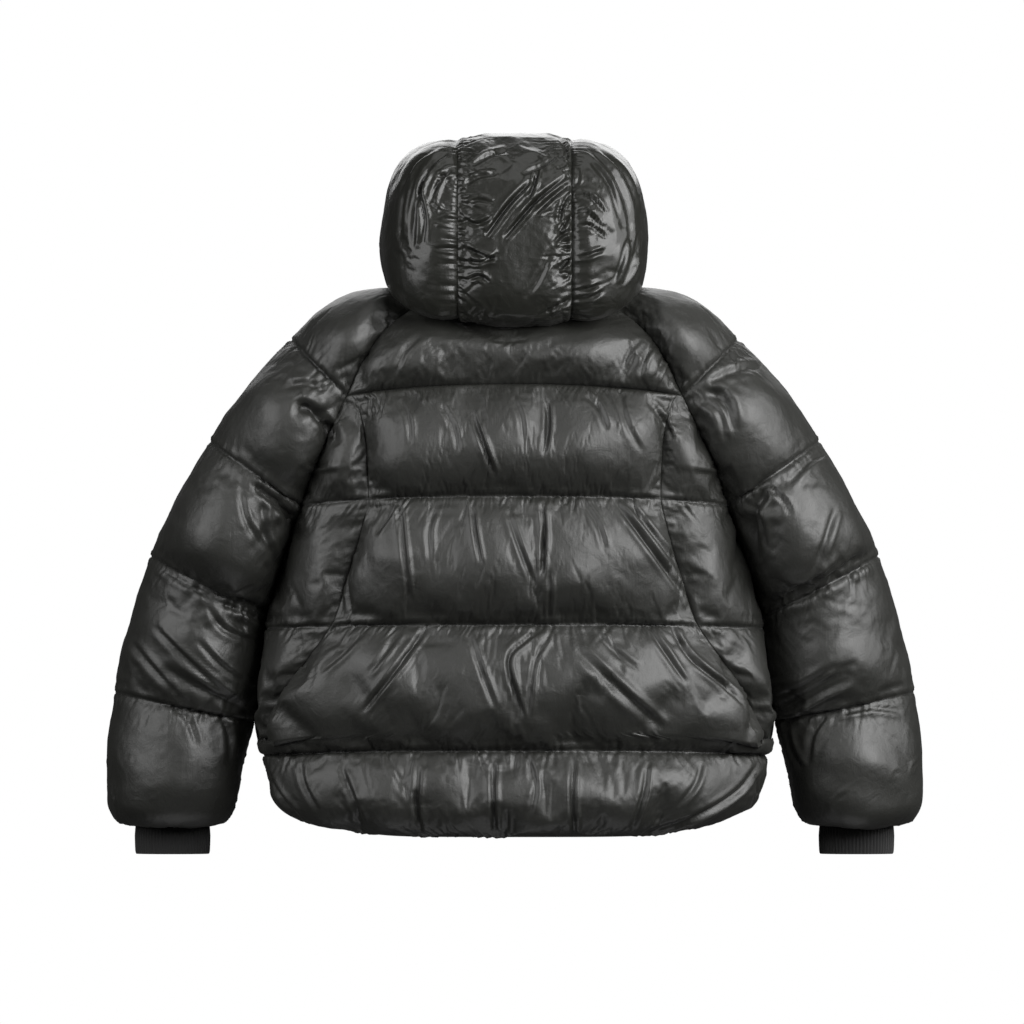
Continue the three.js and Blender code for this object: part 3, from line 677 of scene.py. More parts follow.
addPanel("shell_yoke", "yoke", yokePanel(), linesOf(0, 1), 3)
addPanel("shell_centre_back", "back", centreBackPanel(), linesOf(1, 5), 4)
sideLines = linesOf(1, cut["sideBackEnd"] - 0.02)
addPanel("shell_side_back_right", "sideBack", sideBackPanel(), sideLines, 5)
addPanel("shell_side_back_left", "sideBack", mirrored(sideBackPanel()), sideLines, 6)
addPanel("shell_front_right", "front", frontPanel(), linesOf(0, 5), 7)
addPanel("shell_front_left", "front", mirrored(frontPanel()), linesOf(0, 5), 8)
addPanel("shell_sleeve_right", "sleeve", sleevePanel(), linesOf(0, 5), 9)
addPanel("shell_sleeve_left", "sleeve", mirrored(sleevePanel()), linesOf(0, 5), 10)
addPanel("shell_hood_centre", "hood", hoodCentrePanel(), seed=11)
addPanel("shell_hood_side_right", "hood", hoodSidePanel(), seed=12)
addPanel("shell_hood_side_left", "hood", mirrored(hoodSidePanel()), seed=13)
stage("panels cut")

for name, panel in panels.items():
    panel["item"] = makeSheet(name, panel["start"], panel["normal"], panel["held"])
    panel["grid"] = panel["start"]
for panel in panels.values():
    addCloth(panel["item"], *clothByPanel[panel["kind"]][:2])
for panel, found in zip(panels.values(), inflate([panel["item"] for panel in panels.values()])):
    shift = found.reshape(panel["start"].shape) - panel["start"]
    length = np.linalg.norm(shift, axis=-1, keepdims=True)
    reach = clothByPanel[panel["kind"]][2]
    shorter = np.minimum(1, reach / np.maximum(length, 1e-6))
    panel["grid"] = panel["start"] + shift * shorter * panel["give"]
stage("cloth settled")


# one subdivision, then the folds

def finer(grid):
    # twice the rows and columns, on the rounded surface through the same points
    def half(g):
        wide = np.concatenate((2 * g[:1] - g[1:2], g, 2 * g[-1:] - g[-2:-1]))
        out = np.empty((2 * len(g) - 1,) + g.shape[1:])
        out[::2] = g
        out[1::2] = (9 * (wide[1:-2] + wide[2:-1]) - wide[:-3] - wide[3:]) / 16
        return out

    return np.swapaxes(half(np.swapaxes(half(grid), 0, 1)), 0, 1)


def seamDistance(panel):
    # how far each point is from the nearest stitched line, in mm, and its place across and down the panel
    base, lines = panel["base"], panel["lines"]
    across, back = edgeDistances(base)
    step = np.linalg.norm(np.diff(base, axis=0), axis=-1)
    down = np.concatenate((np.zeros((1, base.shape[1])), np.cumsum(step, axis=0)))
    ends = (0, len(lines) - 1)
    stitched = [r for r in range(len(lines)) if abs(lines[r] - round(lines[r])) < 1e-6 or r in ends]
    nearest = np.minimum(across, back)
    for r in stitched:
        nearest = np.minimum(nearest, np.abs(down - down[r]))
    return nearest, across, down, stitched


def pressCrease(shift, places, weight, points, width, depth, ridge, fade="both"):
    # one trough with a raised fold beside it, which dies away at its ends
    points = np.asarray(points, float)
    if len(points) > 2:
        points = smoothCurve(points, 14)
    low = points.min(axis=0) - 4 * width
    high = points.max(axis=0) + 4 * width
    p, q = places
    near = np.flatnonzero((p > low[0]) & (p < high[0]) & (q > low[1]) & (q < high[1]) & (weight > 0))
    if not len(near):
        return
    x, y = p[near], q[near]
    best = np.full(len(near), 1e9)
    side = np.zeros(len(near))
    along = np.zeros(len(near))
    lengths = np.linalg.norm(np.diff(points, axis=0), axis=1)
    gone = 0.0
    for a, b, length in zip(points[:-1], points[1:], lengths):
        d = (b - a) / length
        t = np.clip((x - a[0]) * d[0] + (y - a[1]) * d[1], 0, length)
        dx = x - a[0] - t * d[0]
        dy = y - a[1] - t * d[1]
        far = np.hypot(dx, dy)
        pick = far < best
        best[pick] = far[pick]
        side[pick] = (np.sign(d[0] * dy - d[1] * dx) * far)[pick]
        along[pick] = gone + t[pick]
        gone += length
    share = along / gone
    taper = np.clip(4 * share * (1 - share), 0, 1) ** 0.55 if fade == "both" else (1 - share) ** 0.8
    s = side / (width if fade == "both" else width * (1.15 - 0.7 * share))
    height = ridge * (np.exp(-((s - 1.5) / 0.85) ** 2) + 0.5 * np.exp(-((s + 1.7) / 1.0) ** 2))
    height -= depth * np.exp(-1.4 * np.abs(s) ** 1.5)
    shift[near] += height * taper * weight[near]


# creases that the photograph shows: places in its own points, then width, depth and ridge in mm
photoPoint = {"middle": 513.5, "level": 300.0, "size": 1.25}
creaseStrength = 1.5
backCreases = [
    # yoke
    ([(656, 342), (645, 356), (638, 378)], 3.2, 2.4, 1.8),
    ([(640, 340), (630, 350), (622, 366)], 3.2, 1.8, 1.4),
    ([(664, 352), (660, 366), (652, 384)], 3.0, 2.0, 1.6),
    ([(676, 366), (680, 378), (678, 390)], 3.4, 1.6, 1.2),
    ([(420, 336), (404, 352), (392, 378)], 4.5, 1.6, 1.2),
    # first back baffle
    ([(471, 412), (481, 440), (494, 476)], 3.4, 2.8, 2.2),
    ([(546, 402), (547, 428), (543, 456)], 3.6, 2.4, 1.8),
    ([(583, 396), (596, 406), (606, 430)], 4.0, 2.2, 1.6),
    ([(648, 402), (660, 418), (672, 440)], 3.6, 2.6, 2.0),
    ([(440, 404), (452, 426), (458, 452)], 4.0, 1.6, 1.4),
    ([(512, 398), (520, 418), (522, 440)], 3.6, 1.4, 1.2),
    ([(618, 400), (626, 426), (640, 452)], 4.2, 1.4, 1.2),
    ([(400, 400), (408, 420), (410, 446)], 3.6, 1.4, 1.0),
    # second back baffle
    ([(399, 503), (403, 545), (409, 598)], 3.4, 2.6, 2.0),
    ([(396, 503), (388, 516), (375, 534)], 3.6, 2.2, 1.8),
    ([(471, 503), (474, 530), (480, 563)], 3.0, 2.2, 1.8),
    ([(507, 512), (517, 542), (532, 582)], 3.4, 2.2, 2.0),
    ([(541, 502), (543, 535), (541, 575)], 3.2, 3.6, 2.4),
    ([(548, 570), (549, 596), (547, 618)], 3.0, 1.6, 1.2),
    ([(612, 500), (640, 536), (682, 594)], 3.8, 3.6, 2.6),
    ([(626, 502), (652, 534), (690, 584)], 3.2, 2.4, 1.8),
    ([(583, 504), (596, 524), (604, 548)], 3.6, 1.8, 1.4),
    ([(436, 504), (428, 530), (430, 560)], 4.0, 1.5, 1.3),
    # third back baffle
    ([(427, 625), (406, 655), (361, 712)], 3.8, 3.6, 2.2),
    ([(470, 636), (480, 668), (494, 706)], 3.6, 2.4, 2.0),
    ([(541, 628), (524, 640), (508, 656), (522, 716)], 3.4, 3.4, 2.4),
    ([(548, 634), (534, 660), (527, 714)], 3.2, 2.0, 1.8),
    ([(575, 648), (612, 684), (661, 728)], 6.5, 2.2, 3.2),
    ([(670, 628), (688, 656), (731, 692), (744, 706)], 3.6, 3.4, 2.4),
    ([(650, 632), (664, 652), (684, 682)], 3.6, 2.4, 1.8),
    ([(364, 628), (344, 650), (318, 672)], 4.4, 2.0, 1.6),
    ([(398, 632), (386, 650), (368, 672)], 4.0, 1.6, 1.4),
    ([(594, 630), (612, 650), (636, 668)], 4.4, 1.6, 1.4),
    # hem baffle
    ([(493, 760), (492, 792), (494, 830)], 3.6, 3.2, 2.2),
    ([(418, 764), (416, 798), (420, 832)], 4.0, 2.4, 1.8),
    ([(573, 758), (571, 790), (573, 834)], 3.6, 3.6, 2.4),
    ([(646, 762), (642, 792), (630, 828)], 3.8, 3.0, 2.2),
    ([(757, 764), (738, 790), (690, 818), (646, 832)], 4.0, 3.4, 2.6),
    ([(262, 764), (276, 792), (300, 820)], 4.0, 3.0, 2.0),
    ([(300, 762), (304, 784), (318, 810)], 3.6, 1.8, 1.4),
    ([(340, 766), (350, 790), (362, 822)], 4.0, 2.0, 1.6),
    ([(528, 760), (534, 784), (530, 812)], 3.6, 2.0, 1.6),
    ([(700, 762), (694, 782), (676, 806)], 3.8, 1.8, 1.6),
    # left sleeve
    ([(296, 402), (312, 410), (330, 430)], 5.0, 3.4, 2.6),
    ([(286, 386), (306, 384), (326, 392)], 4.6, 2.4, 2.0),
    ([(250, 482), (272, 500), (294, 520)], 4.2, 3.2, 2.6),
    ([(262, 500), (264, 530), (276, 566)], 4.6, 2.8, 2.2),
    ([(240, 492), (246, 520), (262, 548)], 4.0, 2.0, 1.8),
    ([(218, 602), (238, 610), (262, 622)], 4.0, 3.2, 2.4),
    ([(206, 606), (222, 628), (252, 642)], 4.2, 2.4, 2.0),
    ([(156, 566), (180, 580), (212, 598)], 4.4, 2.8, 2.0),
    ([(128, 642), (152, 670), (184, 702)], 4.4, 2.6, 2.0),
    ([(152, 626), (190, 664), (233, 700)], 4.2, 2.8, 2.2),
    ([(196, 640), (218, 664), (246, 686)], 4.0, 2.4, 2.0),
    ([(170, 704), (186, 720), (196, 746)], 4.2, 2.0, 1.6),
    ([(214, 708), (226, 730), (228, 764)], 4.0, 2.2, 1.8),
    # right sleeve
    ([(708, 384), (730, 372), (762, 366)], 5.0, 2.4, 2.0),
    ([(700, 400), (716, 412), (724, 440)], 4.4, 2.2, 1.8),
    ([(826, 452), (808, 462), (786, 484)], 4.6, 3.0, 2.2),
    ([(764, 486), (778, 496), (790, 514)], 3.8, 3.0, 2.4),
    ([(744, 500), (760, 520), (766, 548)], 4.0, 2.4, 2.0),
    ([(834, 508), (824, 540), (812, 570)], 4.4, 3.2, 2.6),
    ([(860, 556), (828, 578), (790, 590)], 4.4, 3.2, 2.6),
    ([(842, 560), (820, 574), (776, 606)], 4.0, 2.6, 2.2),
    ([(902, 712), (870, 708), (836, 714)], 4.0, 2.6, 2.0),
    ([(848, 680), (820, 694), (780, 716)], 4.0, 3.4, 2.4),
    ([(836, 664), (806, 684), (772, 700)], 4.2, 2.6, 2.0),
    ([(826, 714), (812, 736), (808, 764)], 4.2, 2.2, 1.8),
    ([(786, 722), (790, 746), (802, 770)], 4.0, 2.2, 1.8),
    # broad dents beside the underarm and the elbow
    ([(292, 408), (316, 414), (336, 446)], 10.0, 6.0, 3.0),
    ([(256, 486), (282, 506), (298, 540)], 9.0, 5.0, 3.0),
    ([(224, 600), (250, 606), (276, 622)], 9.0, 5.0, 3.0),
    ([(766, 488), (752, 512), (756, 560)], 9.0, 5.0, 3.0),
    ([(872, 552), (820, 584), (764, 606)], 9.0, 5.0, 2.4),
    ([(160, 668), (200, 690), (246, 712)], 9.0, 4.4, 2.4),
    ([(850, 672), (812, 690), (774, 712)], 9.0, 5.0, 2.4),
    ([(706, 392), (722, 402), (730, 430)], 9.0, 4.4, 2.4),
    # hood
    ([(531, 182), (508, 206), (485, 238)], 3.2, 4.2, 3.4),
    ([(537, 172), (533, 186), (528, 200)], 2.6, 3.0, 2.4),
    ([(566, 178), (536, 202), (503, 240)], 3.0, 4.2, 3.4),
    ([(568, 186), (548, 202), (534, 216)], 3.4, 2.6, 2.2),
    ([(470, 168), (486, 158), (506, 152)], 3.2, 2.0, 1.6),
    ([(464, 186), (480, 178), (496, 176)], 3.0, 2.0, 1.6),
    ([(466, 206), (478, 202), (492, 206)], 3.0, 1.8, 1.4),
    ([(466, 224), (478, 226), (490, 220)], 3.0, 2.2, 1.8),
    ([(466, 250), (482, 258), (496, 262)], 2.8, 2.8, 2.2),
    ([(466, 262), (480, 264), (498, 256)], 2.8, 2.2, 1.8),
    ([(466, 282), (478, 278), (488, 284)], 2.8, 2.2, 1.8),
    ([(554, 158), (540, 168), (520, 176)], 3.2, 1.8, 1.4),
    ([(560, 140), (566, 156), (570, 170)], 2.8, 2.6, 2.2),
    ([(574, 190), (562, 206), (558, 226)], 2.6, 3.2, 2.6),
    ([(576, 214), (566, 222), (556, 238)], 2.6, 3.2, 2.6),
    ([(576, 232), (562, 236), (552, 246)], 2.6, 3.2, 2.6),
    ([(578, 258), (568, 262), (556, 272)], 2.8, 3.4, 2.8),
    ([(576, 270), (570, 276), (566, 282)], 2.6, 3.0, 2.4),
    ([(578, 196), (590, 200), (604, 216)], 2.6, 3.2, 2.6),
    ([(578, 210), (588, 216), (600, 230)], 2.6, 3.2, 2.6),
    ([(578, 226), (590, 228), (604, 240)], 2.6, 3.2, 2.6),
    ([(580, 262), (590, 256), (602, 252)], 2.6, 3.2, 2.6),
    ([(580, 290), (588, 290), (596, 286)], 2.6, 2.8, 2.2),
    ([(584, 300), (592, 298), (600, 292)], 2.8, 2.4, 2.0),
    ([(586, 150), (608, 170), (626, 208), (630, 262)], 3.2, 2.2, 2.0),
    ([(598, 150), (624, 176), (638, 214)], 3.2, 2.0, 1.8),
    ([(590, 164), (606, 184), (618, 220)], 3.0, 1.8, 1.6),
    ([(636, 232), (632, 262), (622, 286)], 2.8, 2.2, 2.0),
    ([(642, 244), (638, 268), (632, 284)], 2.8, 2.4, 2.0),
    ([(626, 240), (620, 262), (612, 284)], 3.0, 1.8, 1.6),
    ([(452, 150), (430, 168), (416, 204), (412, 250)], 3.4, 2.2, 2.0),
    ([(440, 146), (414, 164), (398, 198)], 3.2, 2.0, 1.8),
    ([(428, 170), (420, 192), (424, 222), (422, 246)], 3.0, 2.6, 2.2),
    ([(452, 168), (438, 184), (430, 206)], 3.0, 3.0, 2.4),
    ([(410, 176), (402, 204), (400, 240)], 3.2, 1.6, 1.4),
    ([(456, 172), (446, 176), (436, 178)], 2.8, 2.4, 2.0),
    ([(458, 204), (446, 208), (438, 218)], 2.8, 2.4, 2.0),
    ([(458, 216), (448, 222), (434, 224)], 2.8, 2.0, 1.6),
    ([(460, 238), (452, 242), (446, 240)], 2.6, 3.0, 2.4),
    ([(460, 252), (450, 250), (440, 254)], 2.8, 2.4, 2.0),
    ([(460, 270), (448, 266), (438, 270)], 2.8, 2.2, 1.8),
    ([(462, 284), (452, 284), (444, 292)], 2.8, 2.0, 1.6),
    ([(550, 250), (538, 280), (524, 300)], 4.4, 1.6, 1.2),
    ([(574, 300), (560, 306), (546, 314)], 3.4, 1.8, 1.4),
]

# creases of the front, which the photograph doesn't show: mm from the middle and mm of height
frontCreases = [
    # right front and sleeve
    ([(34, -38), (48, -66), (80, -106)], 3.8, 2.4, 1.8),
    ([(112, -42), (114, -70), (104, -102)], 3.6, 2.0, 1.6),
    ([(28, -118), (38, -150), (58, -200)], 3.6, 2.6, 2.0),
    ([(90, -118), (86, -148), (92, -182)], 3.4, 2.0, 1.6),
    ([(148, -120), (162, -158), (196, -206)], 4.0, 3.0, 2.2),
    ([(22, -250), (28, -292), (54, -358)], 3.8, 3.0, 2.2),
    ([(82, -250), (80, -286), (70, -322)], 3.4, 2.0, 1.6),
    ([(138, -252), (148, -296), (176, -366)], 3.8, 3.0, 2.2),
    ([(214, -256), (208, -300), (216, -340)], 3.6, 2.2, 1.8),
    ([(262, -300), (250, -330), (248, -372)], 4.0, 2.6, 2.0),
    ([(20, -408), (36, -450), (76, -524)], 3.8, 3.2, 2.4),
    ([(94, -408), (98, -444), (92, -484)], 3.4, 2.0, 1.6),
    ([(152, -408), (174, -450), (222, -520)], 4.0, 3.2, 2.4),
    ([(240, -410), (230, -450), (240, -498)], 3.6, 2.4, 1.8),
    ([(32, -566), (36, -600), (30, -642)], 3.6, 2.6, 2.0),
    ([(104, -566), (98, -602), (102, -648)], 3.6, 2.6, 2.0),
    ([(170, -568), (172, -598), (162, -640)], 3.6, 2.2, 1.8),
    ([(252, -574), (236, -602), (204, -638)], 4.0, 2.8, 2.0),
    ([(322, -150), (296, -160), (276, -190)], 5.0, 3.0, 2.2),
    ([(392, -262), (362, -290), (346, -340)], 4.6, 2.8, 2.2),
    ([(468, -410), (436, -420), (392, -456)], 4.8, 3.0, 2.2),
    ([(480, -498), (452, -512), (400, -556)], 4.6, 2.8, 2.2),
    # left front and sleeve
    ([(-30, -40), (-38, -68), (-60, -102)], 3.8, 2.2, 1.8),
    ([(-134, -48), (-124, -76), (-120, -106)], 3.8, 2.4, 1.8),
    ([(-48, -118), (-44, -156), (-52, -196)], 3.6, 2.4, 1.8),
    ([(-116, -118), (-130, -152), (-158, -196)], 4.0, 2.8, 2.2),
    ([(-196, -130), (-192, -164), (-206, -204)], 3.6, 2.2, 1.8),
    ([(-36, -250), (-50, -290), (-86, -350)], 3.8, 3.0, 2.2),
    ([(-104, -252), (-100, -290), (-106, -336)], 3.4, 2.2, 1.8),
    ([(-168, -252), (-160, -292), (-166, -350)], 3.6, 2.4, 1.8),
    ([(-236, -262), (-250, -300), (-276, -340)], 4.0, 2.8, 2.2),
    ([(-26, -408), (-30, -448), (-50, -506)], 3.8, 2.8, 2.2),
    ([(-80, -408), (-92, -440), (-98, -476)], 3.4, 2.0, 1.6),
    ([(-136, -410), (-128, -456), (-138, -520)], 3.8, 3.0, 2.2),
    ([(-206, -408), (-226, -452), (-264, -508)], 4.0, 3.0, 2.4),
    ([(-54, -566), (-50, -602), (-56, -646)], 3.6, 2.6, 2.0),
    ([(-132, -566), (-138, -596), (-132, -640)], 3.6, 2.4, 1.8),
    ([(-214, -570), (-206, -598), (-190, -634)], 3.8, 2.6, 2.0),
    ([(-296, -118), (-276, -148), (-262, -184)], 5.0, 3.0, 2.2),
    ([(-420, -300), (-384, -312), (-348, -350)], 4.8, 3.0, 2.2),
    ([(-486, -420), (-470, -452), (-436, -486)], 4.6, 2.6, 2.0),
    ([(-350, -480), (-388, -500), (-410, -548)], 4.6, 2.8, 2.2),
]

# spots where the cloth is crushed into sharp facets: photo points, reach in points, depth in mm
crushedBack = [
    ((276, 512), 22, 3.4), ((262, 540), 18, 2.2), ((238, 612), 18, 3.4), ((312, 410), 17, 3.4),
    ((326, 432), 13, 2.4), ((196, 592), 18, 2.0), ((214, 712), 18, 2.4), ((176, 690), 18, 1.8),
    ((232, 692), 14, 2.4), ((770, 504), 17, 3.2), ((828, 574), 24, 3.2), ((790, 600), 17, 2.6),
    ((850, 706), 22, 2.6), ((796, 706), 20, 3.0), ((712, 398), 16, 2.6), ((744, 372), 16, 1.6),
    ((660, 352), 14, 2.0), ((572, 240), 20, 2.6), ((588, 214), 15, 2.4), ((566, 270), 13, 2.2),
    ((636, 262), 11, 1.8), ((448, 206), 12, 1.6), ((484, 262), 15, 1.6), ((524, 728), 15, 1.8),
    ((400, 408), 12, 1.4), ((541, 520), 13, 1.4), ((694, 690), 16, 1.6), ((516, 760), 14, 1.6),
    ((760, 520), 14, 2.0),
]
# and those of the front: mm
crushedFront = [
    ((300, -172), 24, 3.0), ((352, -300), 24, 3.0), ((398, -456), 26, 3.0), ((420, -560), 22, 2.2),
    ((250, -330), 22, 1.8), ((60, -112), 20, 1.6), ((-286, -150), 24, 3.0),
    ((-366, -332), 26, 3.0), ((-402, -470), 24, 2.8), ((-430, -556), 22, 2.2),
    ((-240, -300), 22, 1.8), ((-70, -246), 18, 1.4), ((-40, -560), 20, 1.6),
]

# folds that run from the stitching: how many in 100 mm, then length, width and depth in mm
longGather = {"often": 4.0, "length": (20, 66), "width": (1.8, 3.6), "depth": (1.0, 2.6)}
smallGather = {"often": 11.0, "length": (8, 26), "width": (2.0, 3.0), "depth": (0.7, 1.8)}
gatherLimit = 2.6  # mm at which folds that cross level off
# strength of the long folds, of the small ones and of the fine crumple, and how many start at the side seams
gatherByPanel = {
    "yoke": (0.6, 0.8, 0.30, 0.7),
    "back": (1.0, 1.0, 0.38, 0.7),
    "sideBack": (0.9, 1.0, 0.45, 0.7),
    "front": (1.0, 1.0, 0.45, 0.7),
    "sleeve": (1.1, 1.0, 0.75, 0.9),
    "hood": (0.9, 1.3, 0.80, 2.2),
}


def fromPhoto(points):
    # mm from the middle and mm of height, from places in the photograph
    points = np.asarray(points, float)
    spots = np.column_stack((points[:, 0] - photoPoint["middle"], photoPoint["level"] - points[:, 1]))
    return spots * photoPoint["size"]


def crumple(points, seed):
    # small facets, from waves with sharp crests whose lines wander
    dice = np.random.default_rng(seed)
    height = np.zeros(points.shape[:2])
    for k in range(9):
        way, bend = (v / np.linalg.norm(v) for v in dice.normal(size=(2, 3)))
        length = dice.uniform(24, 70)
        sway = 1.3 * np.sin(points @ bend * 2 * math.pi / dice.uniform(60, 140) + dice.uniform(0, 6.3))
        height += 1 - np.abs(np.sin(points @ way * math.pi / length + sway + dice.uniform(0, 6.3))) ** 0.8
    return (height - height.mean()) / 1.6


def facets(points, seed):
    # flat faces with sharp folds between them
    dice = np.random.default_rng(seed)
    height = np.zeros(points.shape[:2])
    for k in range(5):
        way, bend = (v / np.linalg.norm(v) for v in dice.normal(size=(2, 3)))
        sway = 0.35 * np.sin(points @ bend * 2 * math.pi / dice.uniform(40, 90) + dice.uniform(0, 6.3))
        turn = points @ way / dice.uniform(20, 44) + sway + dice.uniform(0, 1)
        height += np.abs(turn - np.round(turn)) * 2
    return (height - height.mean()) / 1.3


def foldPanel(panel):
    for key in ("grid", "base", "normal"):
        panel[key] = finer(panel[key])
    lines = panel["lines"]
    panel["lines"] = np.sort(np.concatenate((lines, (lines[1:] + lines[:-1]) / 2)))
    grid = panel["grid"]
    normal = gridNormals(grid, panel["normal"])
    away, across, down, stitched = seamDistance(panel)
    panel["stitched"] = stitched
    longPart, smallPart, finePart, beside = gatherByPanel[panel["kind"]]
    dice = np.random.default_rng(panel["seed"] + 200)
    shift = np.zeros(grid.shape[0] * grid.shape[1])
    free = np.clip(away / 5, 0, 1).reshape(-1)
    flat = (across.reshape(-1), down.reshape(-1))

    def gather(rules, strength, start, way, lean):
        length = dice.uniform(*rules["length"]) * dice.uniform(0.4, 1)
        aim = (way[0] * length + lean * way[1] * length, way[1] * length + lean * way[0] * length)
        depth = dice.uniform(*rules["depth"]) * strength
        width = dice.uniform(*rules["width"])
        end = (start[0] + aim[0], start[1] + aim[1])
        pressCrease(shift, flat, free, (start, end), width, depth, 0.9 * depth, "end")

    for rules, strength in ((longGather, longPart), (smallGather, smallPart)):
        for r in stitched:
            width = across[r, -1]
            for way in (1, -1):
                if (r == 0 and way < 0) or (r == len(grid) - 1 and way > 0):
                    continue
                # most start at the lower edge, and fewer run up from a line than down
                often = rules["often"] * (1.0 if way > 0 else 1.4 if r == len(grid) - 1 else 0.55)
                for p in dice.uniform(0, width, int(width * often / 100)):
                    c = int(np.argmin(np.abs(across[r] - p)))
                    part = strength if way > 0 else 0.7 * strength
                    gather(rules, part, (p, down[r, c]), (0, way), dice.normal() * 0.3)
        for edge, way in ((0, (1, 0)), (-1, (-1, 0))):
            height = down[-1, edge]
            for q in dice.uniform(0, height, int(height * rules["often"] * beside / 100)):
                r = int(np.argmin(np.abs(down[:, edge] - q)))
                gather(rules, 0.8 * strength, (across[r, edge], q), way, dice.normal() * 0.4)
    # where many folds cross they merge
    shift = gatherLimit * np.tanh(shift / gatherLimit)
    # the listed creases, placed on the side that the photograph shows
    facing = np.clip(-normal[..., 1] * 2.5, 0, 1).reshape(-1) * free
    places = (grid[..., 0].reshape(-1), grid[..., 2].reshape(-1))
    for points, width, depth, ridge in backCreases:
        line = fromPhoto(points)
        pressCrease(shift, places, facing, line, width, depth * creaseStrength, ridge * creaseStrength)
    # and those of the front
    ahead = np.clip(normal[..., 1] * 2.5, 0, 1).reshape(-1) * free * (grid[..., 2].reshape(-1) < -20)
    for points, width, depth, ridge in frontCreases:
        pressCrease(shift, places, ahead, points, width, depth * creaseStrength, ridge * creaseStrength)
    # crushed spots
    crush = np.zeros(len(shift))
    for spot, reach, depth in crushedBack:
        x, z = fromPhoto([spot])[0]
        gap = np.hypot(places[0] - x, places[1] - z) / photoPoint["size"]
        crush += depth * facing * np.exp(-(gap / reach) ** 2)
    for (x, z), reach, depth in crushedFront:
        gap = np.hypot(places[0] - x, places[1] - z)
        crush += depth * ahead * np.exp(-(gap / reach) ** 2)
    shift += crush * facets(grid, panel["seed"] + 500).reshape(-1)
    # the fine crumple is strongest beside the stitching
    near = 0.35 + 0.65 * np.exp(-away / 24)
    fine = crumple(grid, panel["seed"] + 300) * finePart * near
    fine += crumple(grid * 2.1, panel["seed"] + 400) * finePart * 0.45 * near
    shift = shift.reshape(grid.shape[:2]) + fine * free.reshape(grid.shape[:2])
    panel["grid"] = grid + normal * shift[..., None]


for panel in panels.values():
    foldPanel(panel)
stage("folds pressed in")


# closed pieces

liningStep = 8  # the lining keeps every eighth row and column


def closedPiece(name, panel, material, node):
    # outer shell, its turned edge, and a plain lining inside
    grid, base, normal = panel["grid"], panel["base"], panel["normal"]
    rows, columns = grid.shape[:2]
    rowPick = sorted(set(range(0, rows, liningStep)) | {rows - 1})
    columnPick = sorted(set(range(0, columns, liningStep)) | {columns - 1})
    lining = (base - normal * cut["wall"])[np.ix_(rowPick, columnPick)]
    points = [grid.reshape(-1, 3)]
    index = np.arange(rows * columns).reshape(rows, columns)
    faces = [indexQuads(index)]
    loop = [(0, c) for c in range(columns)] + [(r, columns - 1) for r in range(1, rows)]
    loop += [(rows - 1, c) for c in range(columns - 2, -1, -1)] + [(r, 0) for r in range(rows - 2, 0, -1)]
    start = rows * columns
    edge = np.array([base[p] - normal[p] * cut["wall"] for p in loop])
    points.append(edge)
    count = len(loop)
    turned = []
    for k in range(count):
        after = (k + 1) % count
        turned.append((index[loop[after]], index[loop[k]], start + k, start + after))
    faces.append(np.array(turned))
    start += count
    small = np.arange(lining.shape[0] * lining.shape[1]).reshape(lining.shape[:2]) + start
    points.append(lining.reshape(-1, 3))
    faces.append(indexQuads(small)[:, [0, 3, 2, 1]])
    every = np.vstack(faces)
    if not np.array_equal(gridQuads(base, normal)[0], every[0]):
        every = every[:, ::-1]
    item = panel["item"]
    item.modifiers.clear()
    mesh = bpy.data.meshes.new(name)
    mesh.from_pydata((np.vstack(points) / 1000).tolist(), [], every.tolist())
    mesh.polygons.foreach_set("use_smooth", [True] * len(mesh.polygons))
    mesh.materials.append(material)
    old = item.data
    item.data = mesh
    bpy.data.meshes.remove(old)
    item.vertex_groups.clear()
    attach(item, "root")
    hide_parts(node)


for name, panel in panels.items():
    cloth = hoodCloth if panel["kind"] == "hood" else shellCloth
    closedPiece(name, panel, cloth, name.replace("shell_", ""))
stage("shell pieces closed")

# quilting stitches

thread = {"pitch": 3.6, "length": 2.7, "radius": 0.3, "height": 0.35, "sides": 5}


def quiltStitches():
    # one small bowed length of thread for each stitch, along every quilting line
    points = []
    faces = []
    # shares of the length along it, of the radius in height, and of the radius in girth
    rings = np.array([(-0.5, 0.2, 0.45), (-0.25, 0.75, 1.0), (0.25, 0.75, 1.0), (0.5, 0.2, 0.45)])
    turn = np.linspace(0, 2 * math.pi, thread["sides"], endpoint=False)
    for panel in panels.values():
        for r in panel["stitched"][1:-1]:
            row = panel["base"][r] + panel["normal"][r] * thread["height"]
            length = np.linalg.norm(np.diff(row, axis=0), axis=1).sum()
            count = int(length / thread["pitch"])
            both = evenSteps(np.hstack((row, panel["normal"][r])), 2 * count + 1)[1::2]
            along = np.gradient(both[:, :3], axis=0)
            along /= np.linalg.norm(along, axis=1, keepdims=True)
            up = both[:, 3:] / np.linalg.norm(both[:, 3:], axis=1, keepdims=True)
            over = np.cross(along, up)
            for middle, a, u, o in zip(both[:, :3], along, up, over):
                start = len(points)
                for way, lift, girth in rings:
                    centre = middle + a * way * thread["length"] + u * lift * thread["radius"]
                    for angle in turn:
                        spoke = math.cos(angle) * u + math.sin(angle) * o
                        points.append(centre + girth * thread["radius"] * spoke)
                n = thread["sides"]
                for ring in range(start, start + n * (len(rings) - 1), n):
                    for i in range(n):
                        j = (i + 1) % n
                        faces.append((ring + j, ring + i, ring + n + i, ring + n + j))
                faces.append(tuple(start + i for i in range(n)))
                faces.append(tuple(start + 3 * n + i for i in reversed(range(n))))
    return points, faces


